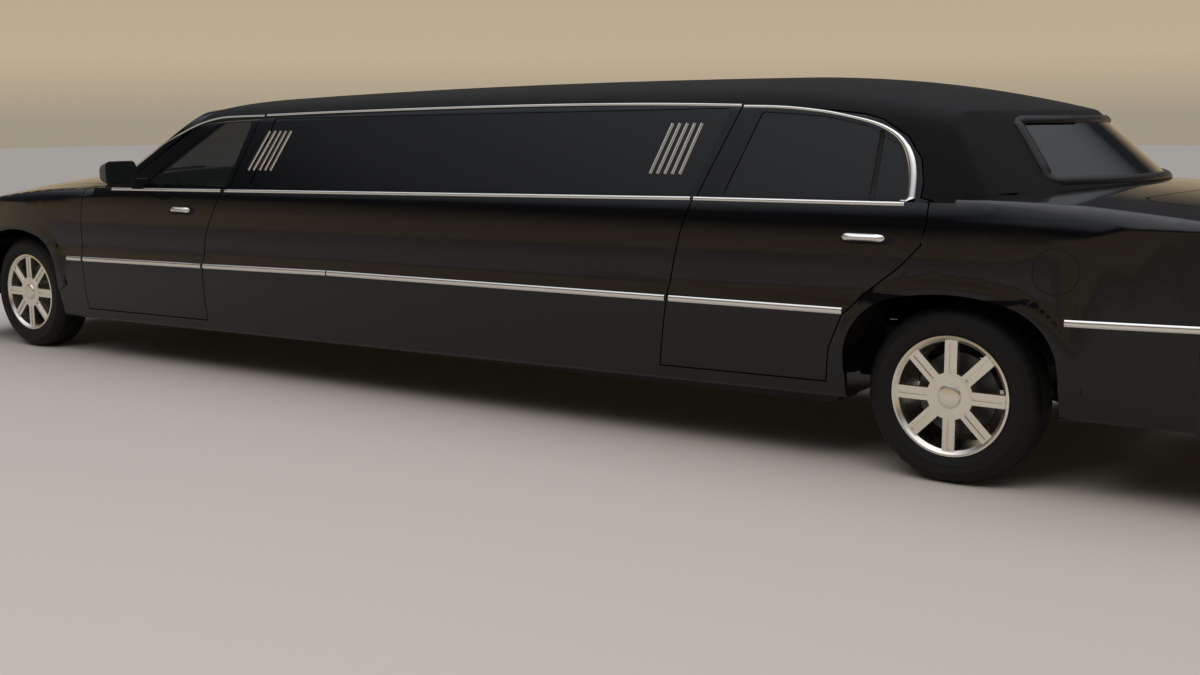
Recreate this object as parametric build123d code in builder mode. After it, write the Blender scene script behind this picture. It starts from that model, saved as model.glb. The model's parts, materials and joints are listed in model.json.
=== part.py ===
from build123d import *
import os
from math import asin, cos, radians, sin, sqrt, tan

os.makedirs("parts", exist_ok=True)

# Whole car in millimetres: X ahead, Y to the car's left, Z up.
# The origin is on the ground, midway between the bumpers' faces.
car_length = 8519
wheelbase = 6038
front_overhang = 965
half_width = 993
rake = 0.0125
rear_axle_x = car_length / 2 - front_overhang - wheelbase
front_axle_x = rear_axle_x + wheelbase
nose_x = car_length / 2
tail_x = -car_length / 2


def ra(distance):
    """X of a point that lies this far ahead of the rear axle."""
    return rear_axle_x + distance


# Blocks that cut right through the car reach these limits
far_side = 1300
far_top = 2000
far_end = 900

# Body sheet, walls and gaps
wall = 110
skin = 45
green_wall = 42
glass_setback = 5
glass_thickness = 5
shut_gap = 6
seat_gap = 0.3
shut_draft = 0.20
bumper_gap = 4
panel_depth = 28
ledge_depth = 40
ledge_width = 25
liner = 8

# Side section of the lower body, from the sill up: height at mid length, set-in from the half width
belt_z = 1048
sill_z = 265
door_foot_z = 332
floor_foot_z = 300
floor_thickness = 28
shoulder_top_z = 1250
side_rows = (
    (sill_z, 68), (sill_z + 14, 47), (430, 15), (600, 1), (655, 0),
    (700, 12), (850, 8), (985, 31), (1040, 52), (1090, 88),
)

# Plan outline between the bumpers: straight stretch, then one arc to each corner
bumper_reach = 75
bumper_spread = 14
plan_half_width = 996
plan_straight = (ra(250), ra(5100))
nose_corner = (190, 903)
tail_corner = (100, 905)
plan_corner_radius = 150

# Hood and boot deck are barrel surfaces: apex, side-view radius, crown at the crown width
crown_half = 750
hood_apex = (ra(5260), 1095)
hood_radius = 7100
hood_crown = 58
hood_sweep = 16
deck_apex = (ra(0), 1165)
deck_radius = 7000
deck_crown = 45
deck_sweep = -14
shoulder_start_y = 905
shoulder_radius = 60
shoulder_turn = 45
end_edge_radius = 25
belt_span = (ra(0), ra(5262))

# Roof line: three tangent arcs seen from the side, highest at the crown point
roof_top_z = 1583
roof_crown_x = ra(1400)
roof_mid_radius = 73000
roof_tail_x = ra(1050)
roof_tail_radius = 5200
roof_tail_turn = 22
roof_head_x = ra(4300)
roof_head_radius = 3900
roof_head_turn = 20
drip_drop = 128

# Greenhouse section: half width and drop below the roof line
green_rows = ((330, 13), (625, 52), (700, 86), (748, 150), (950, 640))
green_foot_z = 1000
green_foot_y = 905
green_lean = 0.413
screen_lean = 28
screen_foot = (ra(5430), ra(5215), 1085)
backlight_lean = 41
backlight_foot = (ra(-570), ra(-291), 1100)
backlight_edge_radius = 45

# Wheels and running gear
tyre_radius = 345
tyre_width = 225
tyre_bore_radius = 222
rim_lip_radius = 235
front_track = 1610
rear_track = 1666
kingpin_y = 700
arch_half_width = 425
arch_top_z = 742
arch_crown_radius = 900
arch_corner_radius = 260
front_arch_inner_y = 500
rear_arch_inner_y = 600
flare_rows = ((-9, 80), (18, 10))
flare_proud = 7
rear_flare_y = 984
front_flare_y = 966
front_flare_turn = 3.7


def raked(z, x):
    """Height of a body line at x, for its height z at mid length."""
    return z - rake * x


def side_mass(inset, bottom=sill_z):
    """Lower body: the side section run along the raked length, set in by a wall."""
    start_x = tail_x - 100
    rows = [(half_width - set_in - inset, height) for height, set_in in side_rows]
    rows[0] = (rows[0][0], bottom)
    foot, turn, low, waist_low, waist, ledge, belly, chest, shoulder, top = rows
    with BuildPart() as mass:
        plane = Plane(origin=(start_x, 0, raked(0, start_x)), x_dir=(0, 1, 0), z_dir=(1, 0, 0))
        with BuildSketch(plane):
            with BuildLine():
                Polyline((0, bottom), foot, turn)
                ThreePointArc(turn, low, waist_low)
                Polyline(waist_low, waist, ledge)
                ThreePointArc(ledge, belly, chest)
                ThreePointArc(chest, shoulder, top)
                Polyline(top, (top[0], shoulder_top_z), (0, shoulder_top_z), (0, bottom))
            make_face()
            mirror(about=Plane.YZ)
        extrude(amount=car_length + 400, dir=(1, 0, -rake))
    return mass.part


def plan_mass(inset, reach=0, spread=0, z_from=0, z_to=1400):
    """Plan outline of the body between the bumpers, run straight up; reach and spread fit a bumper."""
    i = inset - spread
    front = nose_x - bumper_reach - inset + reach
    back = tail_x + bumper_reach + inset - reach
    back_side, front_side = plan_straight
    side_y = plan_half_width - i
    nose = (front - nose_corner[0], nose_corner[1] - i)
    tail = (back + tail_corner[0], tail_corner[1] - i)
    with BuildPart() as mass:
        with BuildSketch(Plane.XY.offset(z_from)):
            with BuildLine():
                ThreePointArc((nose[0], -nose[1]), (front, 0), nose)
                TangentArc((front_side, side_y), nose, tangent=(1, 0))
                Line((front_side, side_y), (back_side, side_y))
                TangentArc((back_side, side_y), tail, tangent=(-1, 0))
                ThreePointArc(tail, (back, 0), (tail[0], -tail[1]))
                TangentArc((back_side, -side_y), (tail[0], -tail[1]), tangent=(-1, 0))
                Line((back_side, -side_y), (front_side, -side_y))
                TangentArc((front_side, -side_y), (nose[0], -nose[1]), tangent=(1, 0))
            make_face()
            corners = vertices().group_by(Axis.X)
            fillet(corners[0] + corners[-1], radius=plan_corner_radius - i)
        extrude(amount=z_to - z_from)
    return mass.part


def barrel_air(apex, radius, crown, sweep_angle, lower):
    """Air over a crowned panel with rounded shoulders that curves down lengthwise."""
    apex_x, apex_z = apex
    edge = crown * (shoulder_start_y / crown_half) ** 2
    top = apex_z - lower
    with BuildPart() as air:
        with BuildSketch(Plane(origin=(apex_x, 0, 0), x_dir=(0, 1, 0), z_dir=(1, 0, 0))):
            with BuildLine():
                cap = ThreePointArc((-shoulder_start_y, top - edge), (0, top), (shoulder_start_y, top - edge))
                right = JernArc(cap @ 1, cap % 1, shoulder_radius, -shoulder_turn)
                right_end = right @ 1 + (right % 1) * 160
                left = JernArc(cap @ 0, -(cap % 0), shoulder_radius, shoulder_turn)
                left_end = left @ 1 + (left % 1) * 160
                Polyline(
                    right @ 1, right_end, (far_side, right_end.Y), (far_side, top + 400),
                    (-far_side, top + 400), (-far_side, left_end.Y), left_end, left @ 1,
                )
            make_face()
        revolve(axis=Axis((apex_x, 0, apex_z - radius), (0, 1, 0)), revolution_arc=sweep_angle)
    return air.part


def hood_air(lower):
    return barrel_air(hood_apex, hood_radius, hood_crown, hood_sweep, lower)


def deck_air(lower):
    return barrel_air(deck_apex, deck_radius, deck_crown, deck_sweep, lower)


def roof_path():
    """Side view of the roof's centre line, from tail to head."""
    mid_centre = (roof_crown_x, roof_top_z - roof_mid_radius)
    tail_angle = asin((roof_tail_x - roof_crown_x) / roof_mid_radius)
    head_angle = asin((roof_head_x - roof_crown_x) / roof_mid_radius)

    def around(centre, radius, angle):
        return (centre[0] + radius * sin(angle), centre[1] + radius * cos(angle))

    def arc(centre, radius, start, end):
        points = [around(centre, radius, angle) for angle in (start, (start + end) / 2, end)]
        return ThreePointArc(*[(x, 0, z) for x, z in points])

    tail_centre = around(mid_centre, roof_mid_radius - roof_tail_radius, tail_angle)
    head_centre = around(mid_centre, roof_mid_radius - roof_head_radius, head_angle)
    with BuildLine() as path:
        arc(tail_centre, roof_tail_radius, tail_angle - radians(roof_tail_turn), tail_angle)
        arc(mid_centre, roof_mid_radius, tail_angle, head_angle)
        arc(head_centre, roof_head_radius, head_angle, head_angle + radians(roof_head_turn))
    return path.line


roof_line = roof_path()
roof_plane = Plane(origin=roof_line @ 0, x_dir=(0, 1, 0), z_dir=roof_line % 0)


def green_sweep(inset):
    """Greenhouse section, with its leaning sides and crowned top, along the roof line."""
    crown, haunch, curve, side, foot = green_rows
    with BuildPart() as mass:
        with BuildSketch(roof_plane):
            with BuildLine():
                top = (0, -inset)
                crown_point = (crown[0], -crown[1] - inset)
                haunch_point = (haunch[0] - inset * 0.6, -haunch[1] - inset)
                curve_point = (curve[0] - inset, -curve[1] - inset * 0.5)
                side_point = (side[0] - inset, -side[1])
                foot_point = (foot[0] - inset, -foot[1])
                ThreePointArc(top, crown_point, haunch_point)
                ThreePointArc(haunch_point, curve_point, side_point)
                Polyline(side_point, foot_point, (0, -foot[1]), top)
            make_face()
            mirror(about=Plane.YZ)
        sweep(path=roof_line)
    return mass.part


def leaning_prism(foot, lean, inset, corner_rows, end_x, facing, height):
    """Everything on the cabin's side of a bowed, leaning glass surface; facing is 1 ahead, -1 behind."""
    centre_x, corner_x, foot_z = foot
    base_z = foot_z - 150
    shift = facing * ((foot_z - base_z) / tan(radians(lean)) - inset / sin(radians(lean)))
    corner_y, mid_row, end_row = corner_rows
    corner = (corner_x + shift, corner_y)
    mid = (corner_x + shift - facing * mid_row[0], mid_row[1])
    end = (corner_x + shift - facing * end_row[0], end_row[1])
    with BuildPart() as mass:
        with BuildSketch(Plane.XY.offset(base_z)):
            with BuildLine():
                ThreePointArc((corner[0], -corner[1]), (centre_x + shift, 0), corner)
                ThreePointArc(corner, mid, end)
                ThreePointArc((corner[0], -corner[1]), (mid[0], -mid[1]), (end[0], -end[1]))
                wide_x = end[0] - facing * 200
                Polyline(
                    end, (wide_x, 1100), (end_x, 1100), (end_x, -1100), (wide_x, -1100), (end[0], -end[1]),
                )
            make_face()
        extrude(amount=height, dir=(-facing * cos(radians(lean)), 0, sin(radians(lean))))
    return mass.part


def screen_prism(inset):
    """Everything behind the windscreen surface; rows are set-back and half width."""
    rows = (720, (125, 850), (415, 960))
    return leaning_prism(screen_foot, screen_lean, inset, rows, tail_x - far_end, 1, 1500)


def backlight_prism(inset):
    """Everything ahead of the rear window surface; rows are set-back and half width."""
    rows = (660, (161, 800), (421, 905))
    return leaning_prism(backlight_foot, backlight_lean, inset, rows, nose_x + far_end, -1, 1100)


def green_mass(inset):
    """The whole greenhouse, set in by a wall."""
    with BuildPart() as mass:
        add(green_sweep(inset))
        add(screen_prism(inset), mode=Mode.INTERSECT)
        add(backlight_prism(inset), mode=Mode.INTERSECT)
    return mass.part


def along_roof(low, high):
    """A band that follows the roof line, between two heights below or above it."""
    with BuildPart() as band:
        with BuildSketch(roof_plane):
            with Locations((0, (low + high) / 2)):
                Rectangle(2 * far_side, high - low)
        sweep(path=roof_line)
    return band.part


def side_view(points, depth=far_side):
    """A prism from an outline seen from the side, right across the car."""
    with BuildPart() as prism:
        with BuildSketch(Plane.XZ):
            with BuildLine():
                Polyline(*points, close=True)
            make_face()
        extrude(amount=depth, both=True)
    return prism.part


def front_view(points, x_from, x_to):
    """A prism from half an outline seen from the front, mirrored to both sides."""
    with BuildPart() as prism:
        with BuildSketch(Plane.YZ.offset(x_from)):
            with BuildLine():
                Polyline(*points, close=True)
            make_face()
            mirror(about=Plane.YZ)
        extrude(amount=x_to - x_from)
    return prism.part


def slab(x_from, x_to, y_from=-far_side, y_to=far_side, z_from=0, z_to=far_top):
    """A plain block given by its faces; by default it runs right across and up."""
    with BuildPart() as block:
        with Locations(((x_from + x_to) / 2, (y_from + y_to) / 2, (z_from + z_to) / 2)):
            Box(x_to - x_from, y_to - y_from, z_to - z_from)
    return block.part


def carved(base, keep=(), join=(), remove=()):
    """One piece of the car: a base limited by some solids, joined to others, then cut."""
    with BuildPart() as piece:
        add(base)
        for solid in keep:
            add(solid, mode=Mode.INTERSECT)
        for solid in join:
            add(solid)
        for solid in remove:
            add(solid, mode=Mode.SUBTRACT)
    return piece.part


def both_sides(piece):
    """A left piece with its mirror image."""
    with BuildPart() as pair:
        add(piece)
        mirror(about=Plane.XZ)
    return pair.part


def mirrored(piece):
    """The right-hand twin of a left piece."""
    with BuildPart() as twin:
        add(piece)
        mirror(about=Plane.XZ, mode=Mode.REPLACE)
    return twin.part


def write(piece, name):
    piece.label = name
    export_step(piece, f"parts/{name}.step")


# Doors: outlines on the belt's plane, drawn so that a sheared cut lands on the leaning glass
door_plane_y = 930
door_draw_y = 1100
door_cut_depth = 800


def drawn(distance, z):
    """Point of a door outline whose place on the outer skin is this far ahead of the axle."""
    x = ra(distance)
    belt = raked(belt_z, x)
    surface_y = half_width - 8
    if z > belt:
        surface_y = green_foot_y - (z - belt) * green_lean
    return (x - shut_draft * (door_plane_y - surface_y), z)


front_door_front = 5345
front_door_rear = 4275
rear_door_front = 1290
rear_door_rear = 505


def front_door_outline():
    """Rows of distance ahead of the rear axle and height, from the front foot round to the rear foot."""
    rows = (
        (front_door_front, raked(door_foot_z, ra(front_door_front))), (front_door_front, 1010), (5130, 1030),
        (4430, 1424), (4360, 1460), (4330, 1700), (4000, 1700), (4040, 1400), (4133, 1040), (4235, 783),
        (4268, 600), (front_door_rear, raked(door_foot_z, ra(front_door_rear))),
    )
    return [drawn(distance, z) for distance, z in rows]


def rear_door_outline():
    """Rows of distance ahead of the rear axle and height, from the front foot round to the rear foot."""
    rows = (
        (rear_door_front, raked(door_foot_z, ra(rear_door_front))), (1245, 645), (1184, 928), (1152, 1078),
        (1019, 1458), (1010, 1700), (760, 1700), (700, 1452), (540, 1432), (380, 1392), (260, 1325),
        (190, 1240), (165, 1150), (165, 1092), (96, 1078), (100, 1000), (116, 922), (200, 835),
        (314, 747), (434, 635), (490, 500), (rear_door_rear, raked(door_foot_z, ra(rear_door_rear))),
    )
    return [drawn(distance, z) for distance, z in rows]


def door_prism(points, grow):
    """The left door's block, sheared so that its rear edge swings clear of the pillar."""
    shift = shut_draft * (door_draw_y - door_plane_y)
    with BuildPart() as prism:
        with BuildSketch(Plane.XZ.offset(-door_draw_y)):
            with BuildLine():
                Polyline(*[(x - shift, z) for x, z in points], close=True)
            make_face()
            if grow:
                offset(amount=grow, kind=Kind.INTERSECTION)
        extrude(amount=door_cut_depth, dir=(shut_draft, -1, 0))
    return prism.part


def window_prism(points):
    """A window seen from the side, through the left wall of the greenhouse."""
    with BuildPart() as prism:
        with BuildSketch(Plane.XZ.offset(-1000)):
            with BuildLine():
                Polyline(*[(ra(distance), z) for distance, z in points], close=True)
            make_face()
            fillet(vertices(), radius=18)
        extrude(amount=700)
    return prism.part


def arch_outline(grow):
    """Wheel opening seen from the side: a flat crown with round corners on upright sides."""
    drop = arch_crown_radius - sqrt(arch_crown_radius**2 - arch_half_width**2)
    left = (-arch_half_width, arch_top_z - drop)
    right = (arch_half_width, arch_top_z - drop)
    with BuildSketch() as opening:
        with BuildLine():
            ThreePointArc(left, (0, arch_top_z), right)
            Polyline(right, (right[0], -200), (left[0], -200), left)
        make_face()
        fillet(vertices().group_by(Axis.Y)[-1], radius=arch_corner_radius)
        if grow:
            offset(amount=grow, kind=Kind.INTERSECTION)
    return opening.sketch


def arch_prism(axle_x, grow, y_inner):
    """The wheel opening, from an inner plane out through the body side, on both sides."""
    with BuildPart() as prism:
        with BuildSketch(Plane.XZ.offset(-y_inner)):
            with Locations((axle_x, 0)):
                add(arch_outline(grow))
        extrude(amount=-(1100 - y_inner))
        mirror(about=Plane.XZ)
    return prism.part


def arch_flare(axle_x, surface_y, turn):
    """Raised lip round a wheel opening, on a plane turned with the body's side."""
    with BuildPart() as lip:
        for set_out, grow in flare_rows:
            y = surface_y + set_out
            slope = radians(turn)
            ahead = (cos(slope), -sin(slope), 0)
            inward = (-sin(slope), -cos(slope), 0)
            with BuildSketch(Plane(origin=(axle_x, y, 0), x_dir=ahead, z_dir=inward)):
                add(arch_outline(grow))
        loft(ruled=True)
        add(side_mass(-flare_proud, 0), mode=Mode.INTERSECT)
        add(plan_mass(-flare_proud), mode=Mode.INTERSECT)
        add(slab(tail_x, nose_x, z_from=sill_z + 30), mode=Mode.INTERSECT)
    return both_sides(lip.part)


# The whole outer body
front_bumper_top = 560
rear_bumper_top = 610
front_bumper_back = ra(6500)
rear_bumper_front = ra(-900)


def above_belt(lift):
    """Everything over the raked belt plane between the hood's and the deck's apex."""
    low = belt_z + lift
    x_from, x_to = belt_span
    return side_view([(x_from, raked(low, x_from)), (x_to, raked(low, x_to)), (x_to, 1900), (x_from, 1900)])


def end_edges(part, x_from, x_to):
    """The long edges where a barrel surface meets the nose or the tail."""
    return [
        edge for edge in part.edges()
        if x_from < edge.bounding_box().min.X and edge.bounding_box().max.X < x_to
        and edge.bounding_box().min.Z > 840 and edge.length > 400
    ]


with BuildPart() as outer_build:
    add(side_mass(0))
    add(plan_mass(0), mode=Mode.INTERSECT)
    add(hood_air(0), mode=Mode.SUBTRACT)
    add(deck_air(0), mode=Mode.SUBTRACT)
    add(above_belt(0), mode=Mode.SUBTRACT)
    fillet(end_edges(outer_build.part, ra(6650), nose_x), radius=end_edge_radius)
    fillet(end_edges(outer_build.part, tail_x, ra(-1300)), radius=end_edge_radius)
    add(arch_flare(rear_axle_x, rear_flare_y, 0))
    add(arch_flare(front_axle_x, front_flare_y, front_flare_turn))
    add(slab(front_bumper_back - bumper_gap, nose_x, z_to=front_bumper_top + bumper_gap), mode=Mode.SUBTRACT)
    add(slab(tail_x, rear_bumper_front + bumper_gap, z_to=rear_bumper_top + bumper_gap), mode=Mode.SUBTRACT)
outer = outer_build.part

# Greenhouse: outer form with rounded rear edges, its shell and the layer that the glass lies in
def backlight_edges(part):
    """The edges all round the rear window surface, above the belt."""
    return [
        edge for edge in part.edges()
        if edge.bounding_box().max.X < ra(700) and edge.bounding_box().max.Z > green_foot_z
        and edge.length > 20 and edge.bounding_box().size.Y > 20
    ]


with BuildPart() as green_build:
    add(green_mass(0))
    fillet(backlight_edges(green_build.part), radius=backlight_edge_radius)
    add(
        side_view(
            [
                (tail_x, 600), (nose_x, 600),
                (nose_x, raked(green_foot_z, nose_x)), (tail_x, raked(green_foot_z, tail_x)),
            ]
        ),
        mode=Mode.SUBTRACT,
    )
    add(outer, mode=Mode.SUBTRACT)
green = green_build.part
green_inner = green_mass(green_wall)
green_shell = carved(green, remove=[green_inner])
glass_outside = green_mass(glass_setback)
glass_inside = green_mass(glass_setback + glass_thickness)
glass_layer = carved(glass_outside, remove=[glass_inside])
glass_bed = carved(green, remove=[glass_inside])

# The cabin's hollow, and the doors' hollow that runs past its front
firewall_x = ra(5296)
firewall_thickness = 40
cabin_back = ra(-560)
cabin_top_z = 1044
cabin = carved(side_mass(wall, 0), keep=[slab(cabin_back, firewall_x, z_to=cabin_top_z)])
door_hollow = carved(side_mass(wall, 0), keep=[slab(cabin_back, ra(5420), z_to=1200)])
above_drip = along_roof(-drip_drop, 250)
above_drip_gap = along_roof(-drip_drop - shut_gap, 250)
left_doors = slab(tail_x, ra(5400), y_from=600)

# Doors: name, outline, glass outline (distance ahead of the rear axle, height), hinge leaf heights
front_glass_outline = ((4905, 1046), (4360, 1382), (4090, 1392), (4168, 1046))
rear_glass_outline = (
    (1035, 1080), (925, 1428), (640, 1408), (440, 1368), (310, 1300), (235, 1200), (222, 1095),
)
door_rows = (
    ("front_door", front_door_outline(), front_glass_outline, front_door_front, (470, 850)),
    ("rear_door", rear_door_outline(), rear_glass_outline, rear_door_front - 20, (520, 880)),
)
hinge_leaf_height = 90
hinge_leaf_y = (898, 938)
door_skin = carved(outer, remove=[door_hollow, green_inner])
door_wall = carved(door_skin, join=[green_shell])
door_wall = carved(door_wall, keep=[left_doors], remove=[above_drip_gap])
doors = {}
door_glass = {}
left_openings = {}
hinge_leaves = {}
for name, outline, glass_points, hinge_edge, leaf_heights in door_rows:
    window = window_prism(glass_points)
    with BuildPart() as door:
        add(door_wall)
        add(door_prism(outline, 0), mode=Mode.INTERSECT)
        add(window, mode=Mode.SUBTRACT)
    with BuildPart() as glass:
        add(glass_layer)
        add(window, mode=Mode.INTERSECT)
    doors[name] = door.part
    door_glass[name] = glass.part
    left_openings[name] = door_prism(outline, shut_gap)
    with BuildPart() as leaves:
        for height in leaf_heights:
            add(
                slab(
                    ra(hinge_edge - 60), ra(hinge_edge + 60), hinge_leaf_y[0], hinge_leaf_y[1],
                    height, height + hinge_leaf_height,
                )
            )
        add(left_openings[name], mode=Mode.INTERSECT)
        add(door_prism(outline, seat_gap), mode=Mode.SUBTRACT)
    hinge_leaves[name] = both_sides(leaves.part)
door_openings = carved(both_sides(left_openings["front_door"]), join=[both_sides(left_openings["rear_door"])])

# Wheel openings and their liners
front_arch = arch_prism(front_axle_x, 0, front_arch_inner_y)
rear_arch = arch_prism(rear_axle_x, 0, rear_arch_inner_y)


def arch_liner(axle_x, inner_y, opening):
    """A thin shell round a wheel opening's inner part."""
    with BuildPart() as shell:
        add(arch_prism(axle_x, liner, inner_y))
        add(opening, mode=Mode.SUBTRACT)
        add(slab(tail_x, nose_x, -door_plane_y, door_plane_y, floor_foot_z, 1000), mode=Mode.INTERSECT)
    return shell.part


front_liner = arch_liner(front_axle_x, front_arch_inner_y, front_arch)
rear_liner = arch_liner(rear_axle_x, rear_arch_inner_y, rear_arch)

# Stretch sides: sill, lower panel, pillars and the long window
sill_span = (ra(455), ra(5480))
sill_cut = door_foot_z - shut_gap
side_limits = side_view(
    [
        (sill_span[0], 100), (sill_span[1], 100), (sill_span[1], raked(sill_cut, sill_span[1])),
        (ra(4800), raked(sill_cut, ra(4800))), (ra(4800), 800), (ra(4200), 900), (ra(4200), 1900),
        (ra(800), 1900), (ra(800), raked(sill_cut, ra(800))), (sill_span[0], raked(sill_cut, sill_span[0])),
    ]
)
stretch_glass_points = ((3975, 1048), (3915, 1410), (1075, 1444), (1195, 1082))
stretch_hole_points = ((3740, 1058), (3700, 1395), (1330, 1425), (1425, 1090))
side_window = both_sides(window_prism(stretch_glass_points))
with BuildPart() as sides_build:
    add(carved(outer, remove=[cabin, green_inner]))
    add(carved(green_shell, remove=[above_drip]))
    add(slab(tail_x, nose_x, -600, 600), mode=Mode.SUBTRACT)
    add(side_limits, mode=Mode.INTERSECT)
    for hole in (door_hollow, door_openings, front_arch, rear_arch):
        add(hole, mode=Mode.SUBTRACT)
    add(both_sides(window_prism(stretch_hole_points)), mode=Mode.SUBTRACT)
    add(carved(side_window, keep=[glass_bed]), mode=Mode.SUBTRACT)
    add(hinge_leaves["rear_door"])
sides = sides_build.part
side_glass = carved(side_window, keep=[glass_layer])

# Boot: its room, its mouth with a ledge, and the lid over it
boot_back = ra(-1395)
boot_front = ra(-600)
boot_wall = 60
lid_front = ra(-745)
lid_corner = (ra(-585), 695)
lid_rear_corner = (ra(-1600), 650)
lid_corner_radius = 60
lid_foot_z = 690
lid_face_front = ra(-1330)
rear_plate_z = 815
rear_plate_depth = 14
plate_size = (335, 170)
plate_hole_span = 177.8
plate_hole_rise = 120.65
plate_hole_radius = 3.2


def lid_prism(z_from, grow):
    """The lid's outline seen from above, with a bowed front edge, run up to the sky."""
    with BuildPart() as prism:
        with BuildSketch(Plane.XY.offset(z_from)):
            with BuildLine():
                corner_x, corner_y = lid_corner
                rear_x, rear_y = lid_rear_corner
                ThreePointArc((corner_x, corner_y), (lid_front, 0), (corner_x, -corner_y))
                Polyline((corner_x, -corner_y), (rear_x, -rear_y), (rear_x, rear_y), (corner_x, corner_y))
            make_face()
            fillet(vertices().group_by(Axis.X)[-1], radius=lid_corner_radius)
            if grow:
                offset(amount=grow, kind=Kind.INTERSECTION)
        extrude(amount=1400 - z_from)
    return prism.part


def plate_cut(face_x, facing, centre_z, depth):
    """The flat seat of a number plate with its four screw holes; facing is 1 ahead, -1 behind."""
    with BuildPart() as cut:
        with Locations((face_x, 0, centre_z)):
            Box(2 * depth, *plate_size)
        with BuildSketch(Plane.YZ.offset(face_x)):
            with Locations((0, centre_z)):
                with GridLocations(plate_hole_span, plate_hole_rise, 2, 2):
                    Circle(plate_hole_radius)
        extrude(amount=-facing * (depth + 20))
    return cut.part


boot_limits = slab(boot_back, boot_front)
boot_room = carved(side_mass(boot_wall, 0), keep=[plan_mass(boot_wall), boot_limits])
boot = carved(boot_room, remove=[deck_air(ledge_depth)])
lid_open = lid_prism(lid_foot_z - shut_gap, shut_gap)
lid_seat_cut = carved(lid_open, keep=[deck_air(panel_depth + seat_gap)])
lid_face_cut = carved(lid_open, keep=[slab(tail_x, lid_face_front + 2)], remove=[plan_mass(panel_depth + 2)])
boot_mouth = carved(lid_prism(600, -ledge_width), keep=[slab(boot_back, nose_x)])
lid_shape = carved(outer, keep=[lid_prism(lid_foot_z, 0)])
lid_top = carved(lid_shape, keep=[deck_air(panel_depth)])
lid_face = carved(lid_shape, keep=[slab(tail_x, lid_face_front)], remove=[plan_mass(panel_depth)])
rear_plate = plate_cut(tail_x + bumper_reach, -1, rear_plate_z, rear_plate_depth)
with BuildPart() as lid:
    add(lid_top)
    add(lid_face)
    add(rear_plate, mode=Mode.SUBTRACT)

# Rear quarters with the wheel housings, the rear deck, the tail panel and the tail lamps
tail_lamp_z = (705, 930)
tail_lamp_front = ra(-1180)
tail_lamp_y = 668
lamp_depth = 28
quarter_y = 640
quarter_front = ra(800)
parcel_shelf_front = ra(-180)
parcel_shelf_depth = 35
boot_floor_z = 546
tail_lamp_zone = carved(
    slab(tail_x, tail_lamp_front, z_from=tail_lamp_z[0], z_to=tail_lamp_z[1]),
    remove=[slab(tail_x, nose_x, -tail_lamp_y, tail_lamp_y)],
)
lamp_core = carved(side_mass(lamp_depth, 0), keep=[plan_mass(lamp_depth)])
tail_lamps = carved(outer, keep=[tail_lamp_zone], remove=[lamp_core])
cabin_rear = carved(side_mass(wall, 0), keep=[slab(cabin_back, ra(900), z_to=1400)])
shelf_air = carved(deck_air(parcel_shelf_depth), keep=[slab(tail_x, parcel_shelf_front)])
cabin_rear = carved(cabin_rear, remove=[shelf_air])
tail_body = carved(
    outer,
    keep=[slab(tail_x, quarter_front)],
    remove=[cabin_rear, boot, boot_mouth, side_limits, door_openings, rear_arch, lid_seat_cut, lid_face_cut],
)
centre = slab(tail_x, nose_x, -quarter_y, quarter_y)
with BuildPart() as quarters_build:
    add(tail_body)
    add(centre, mode=Mode.SUBTRACT)
    add(tail_lamps, mode=Mode.SUBTRACT)
    add(rear_liner)
quarters = quarters_build.part
rear_deck = carved(tail_body, keep=[centre, slab(ra(-900), nose_x, z_from=boot_floor_z)])
with BuildPart() as tail_build:
    add(tail_body)
    add(centre, mode=Mode.INTERSECT)
    add(slab(tail_x, ra(-1300)), mode=Mode.INTERSECT)
    add(slab(ra(-1410), ra(-1388), -quarter_y, quarter_y, 440, 640))

# Vinyl roof with its rear pillars, the painted windscreen frame and the two screens
frame_foot = (ra(5190), 980)
frame_head = (ra(4440), raked(1462, 0))


def screen_frame_zone(gap):
    """Everything ahead of the front pillars' rear edge."""
    (foot_x, foot_z), (head_x, head_z) = frame_foot, frame_head
    return side_view(
        [(foot_x - gap, foot_z), (head_x - gap, head_z), (head_x - gap, 1900), (ra(6000), 1900), (ra(6000), foot_z)]
    )


windscreen_hole = front_view([(0, 1035), (770, 1035), (590, 1452), (0, 1466)], ra(4300), ra(5700))
rear_window_hole = front_view([(0, 1160), (625, 1160), (520, 1385), (0, 1392)], ra(-900), ra(150))
windscreen = carved(glass_layer, keep=[windscreen_hole], remove=[outer])
rear_window = carved(glass_layer, keep=[rear_window_hole], remove=[outer])
screen_frame = carved(green_shell, keep=[screen_frame_zone(0)], remove=[door_openings, windscreen_hole])
roof_ahead = slab(ra(4600), nose_x)
roof_edge = carved(green_shell, keep=[along_roof(-drip_drop + 1, 250)])
with BuildPart() as roof_build:
    add(green_shell)
    for hole in (door_openings, side_limits):
        add(hole, mode=Mode.SUBTRACT)
    add(roof_edge)
    for hole in (screen_frame_zone(4), rear_window_hole, roof_ahead):
        add(hole, mode=Mode.SUBTRACT)
roof_shell = roof_build.part

# Hood, and the bay under it
hood_rear = (ra(5470), (ra(5362), 790))
hood_side = (ra(6300), 735)
hood_front = ((ra(6820), 640), ra(6900))
hood_corner_radius = 60
bay_back = ra(5412)
nose_panel_back = ra(6800)
cowl_half = 860


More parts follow.
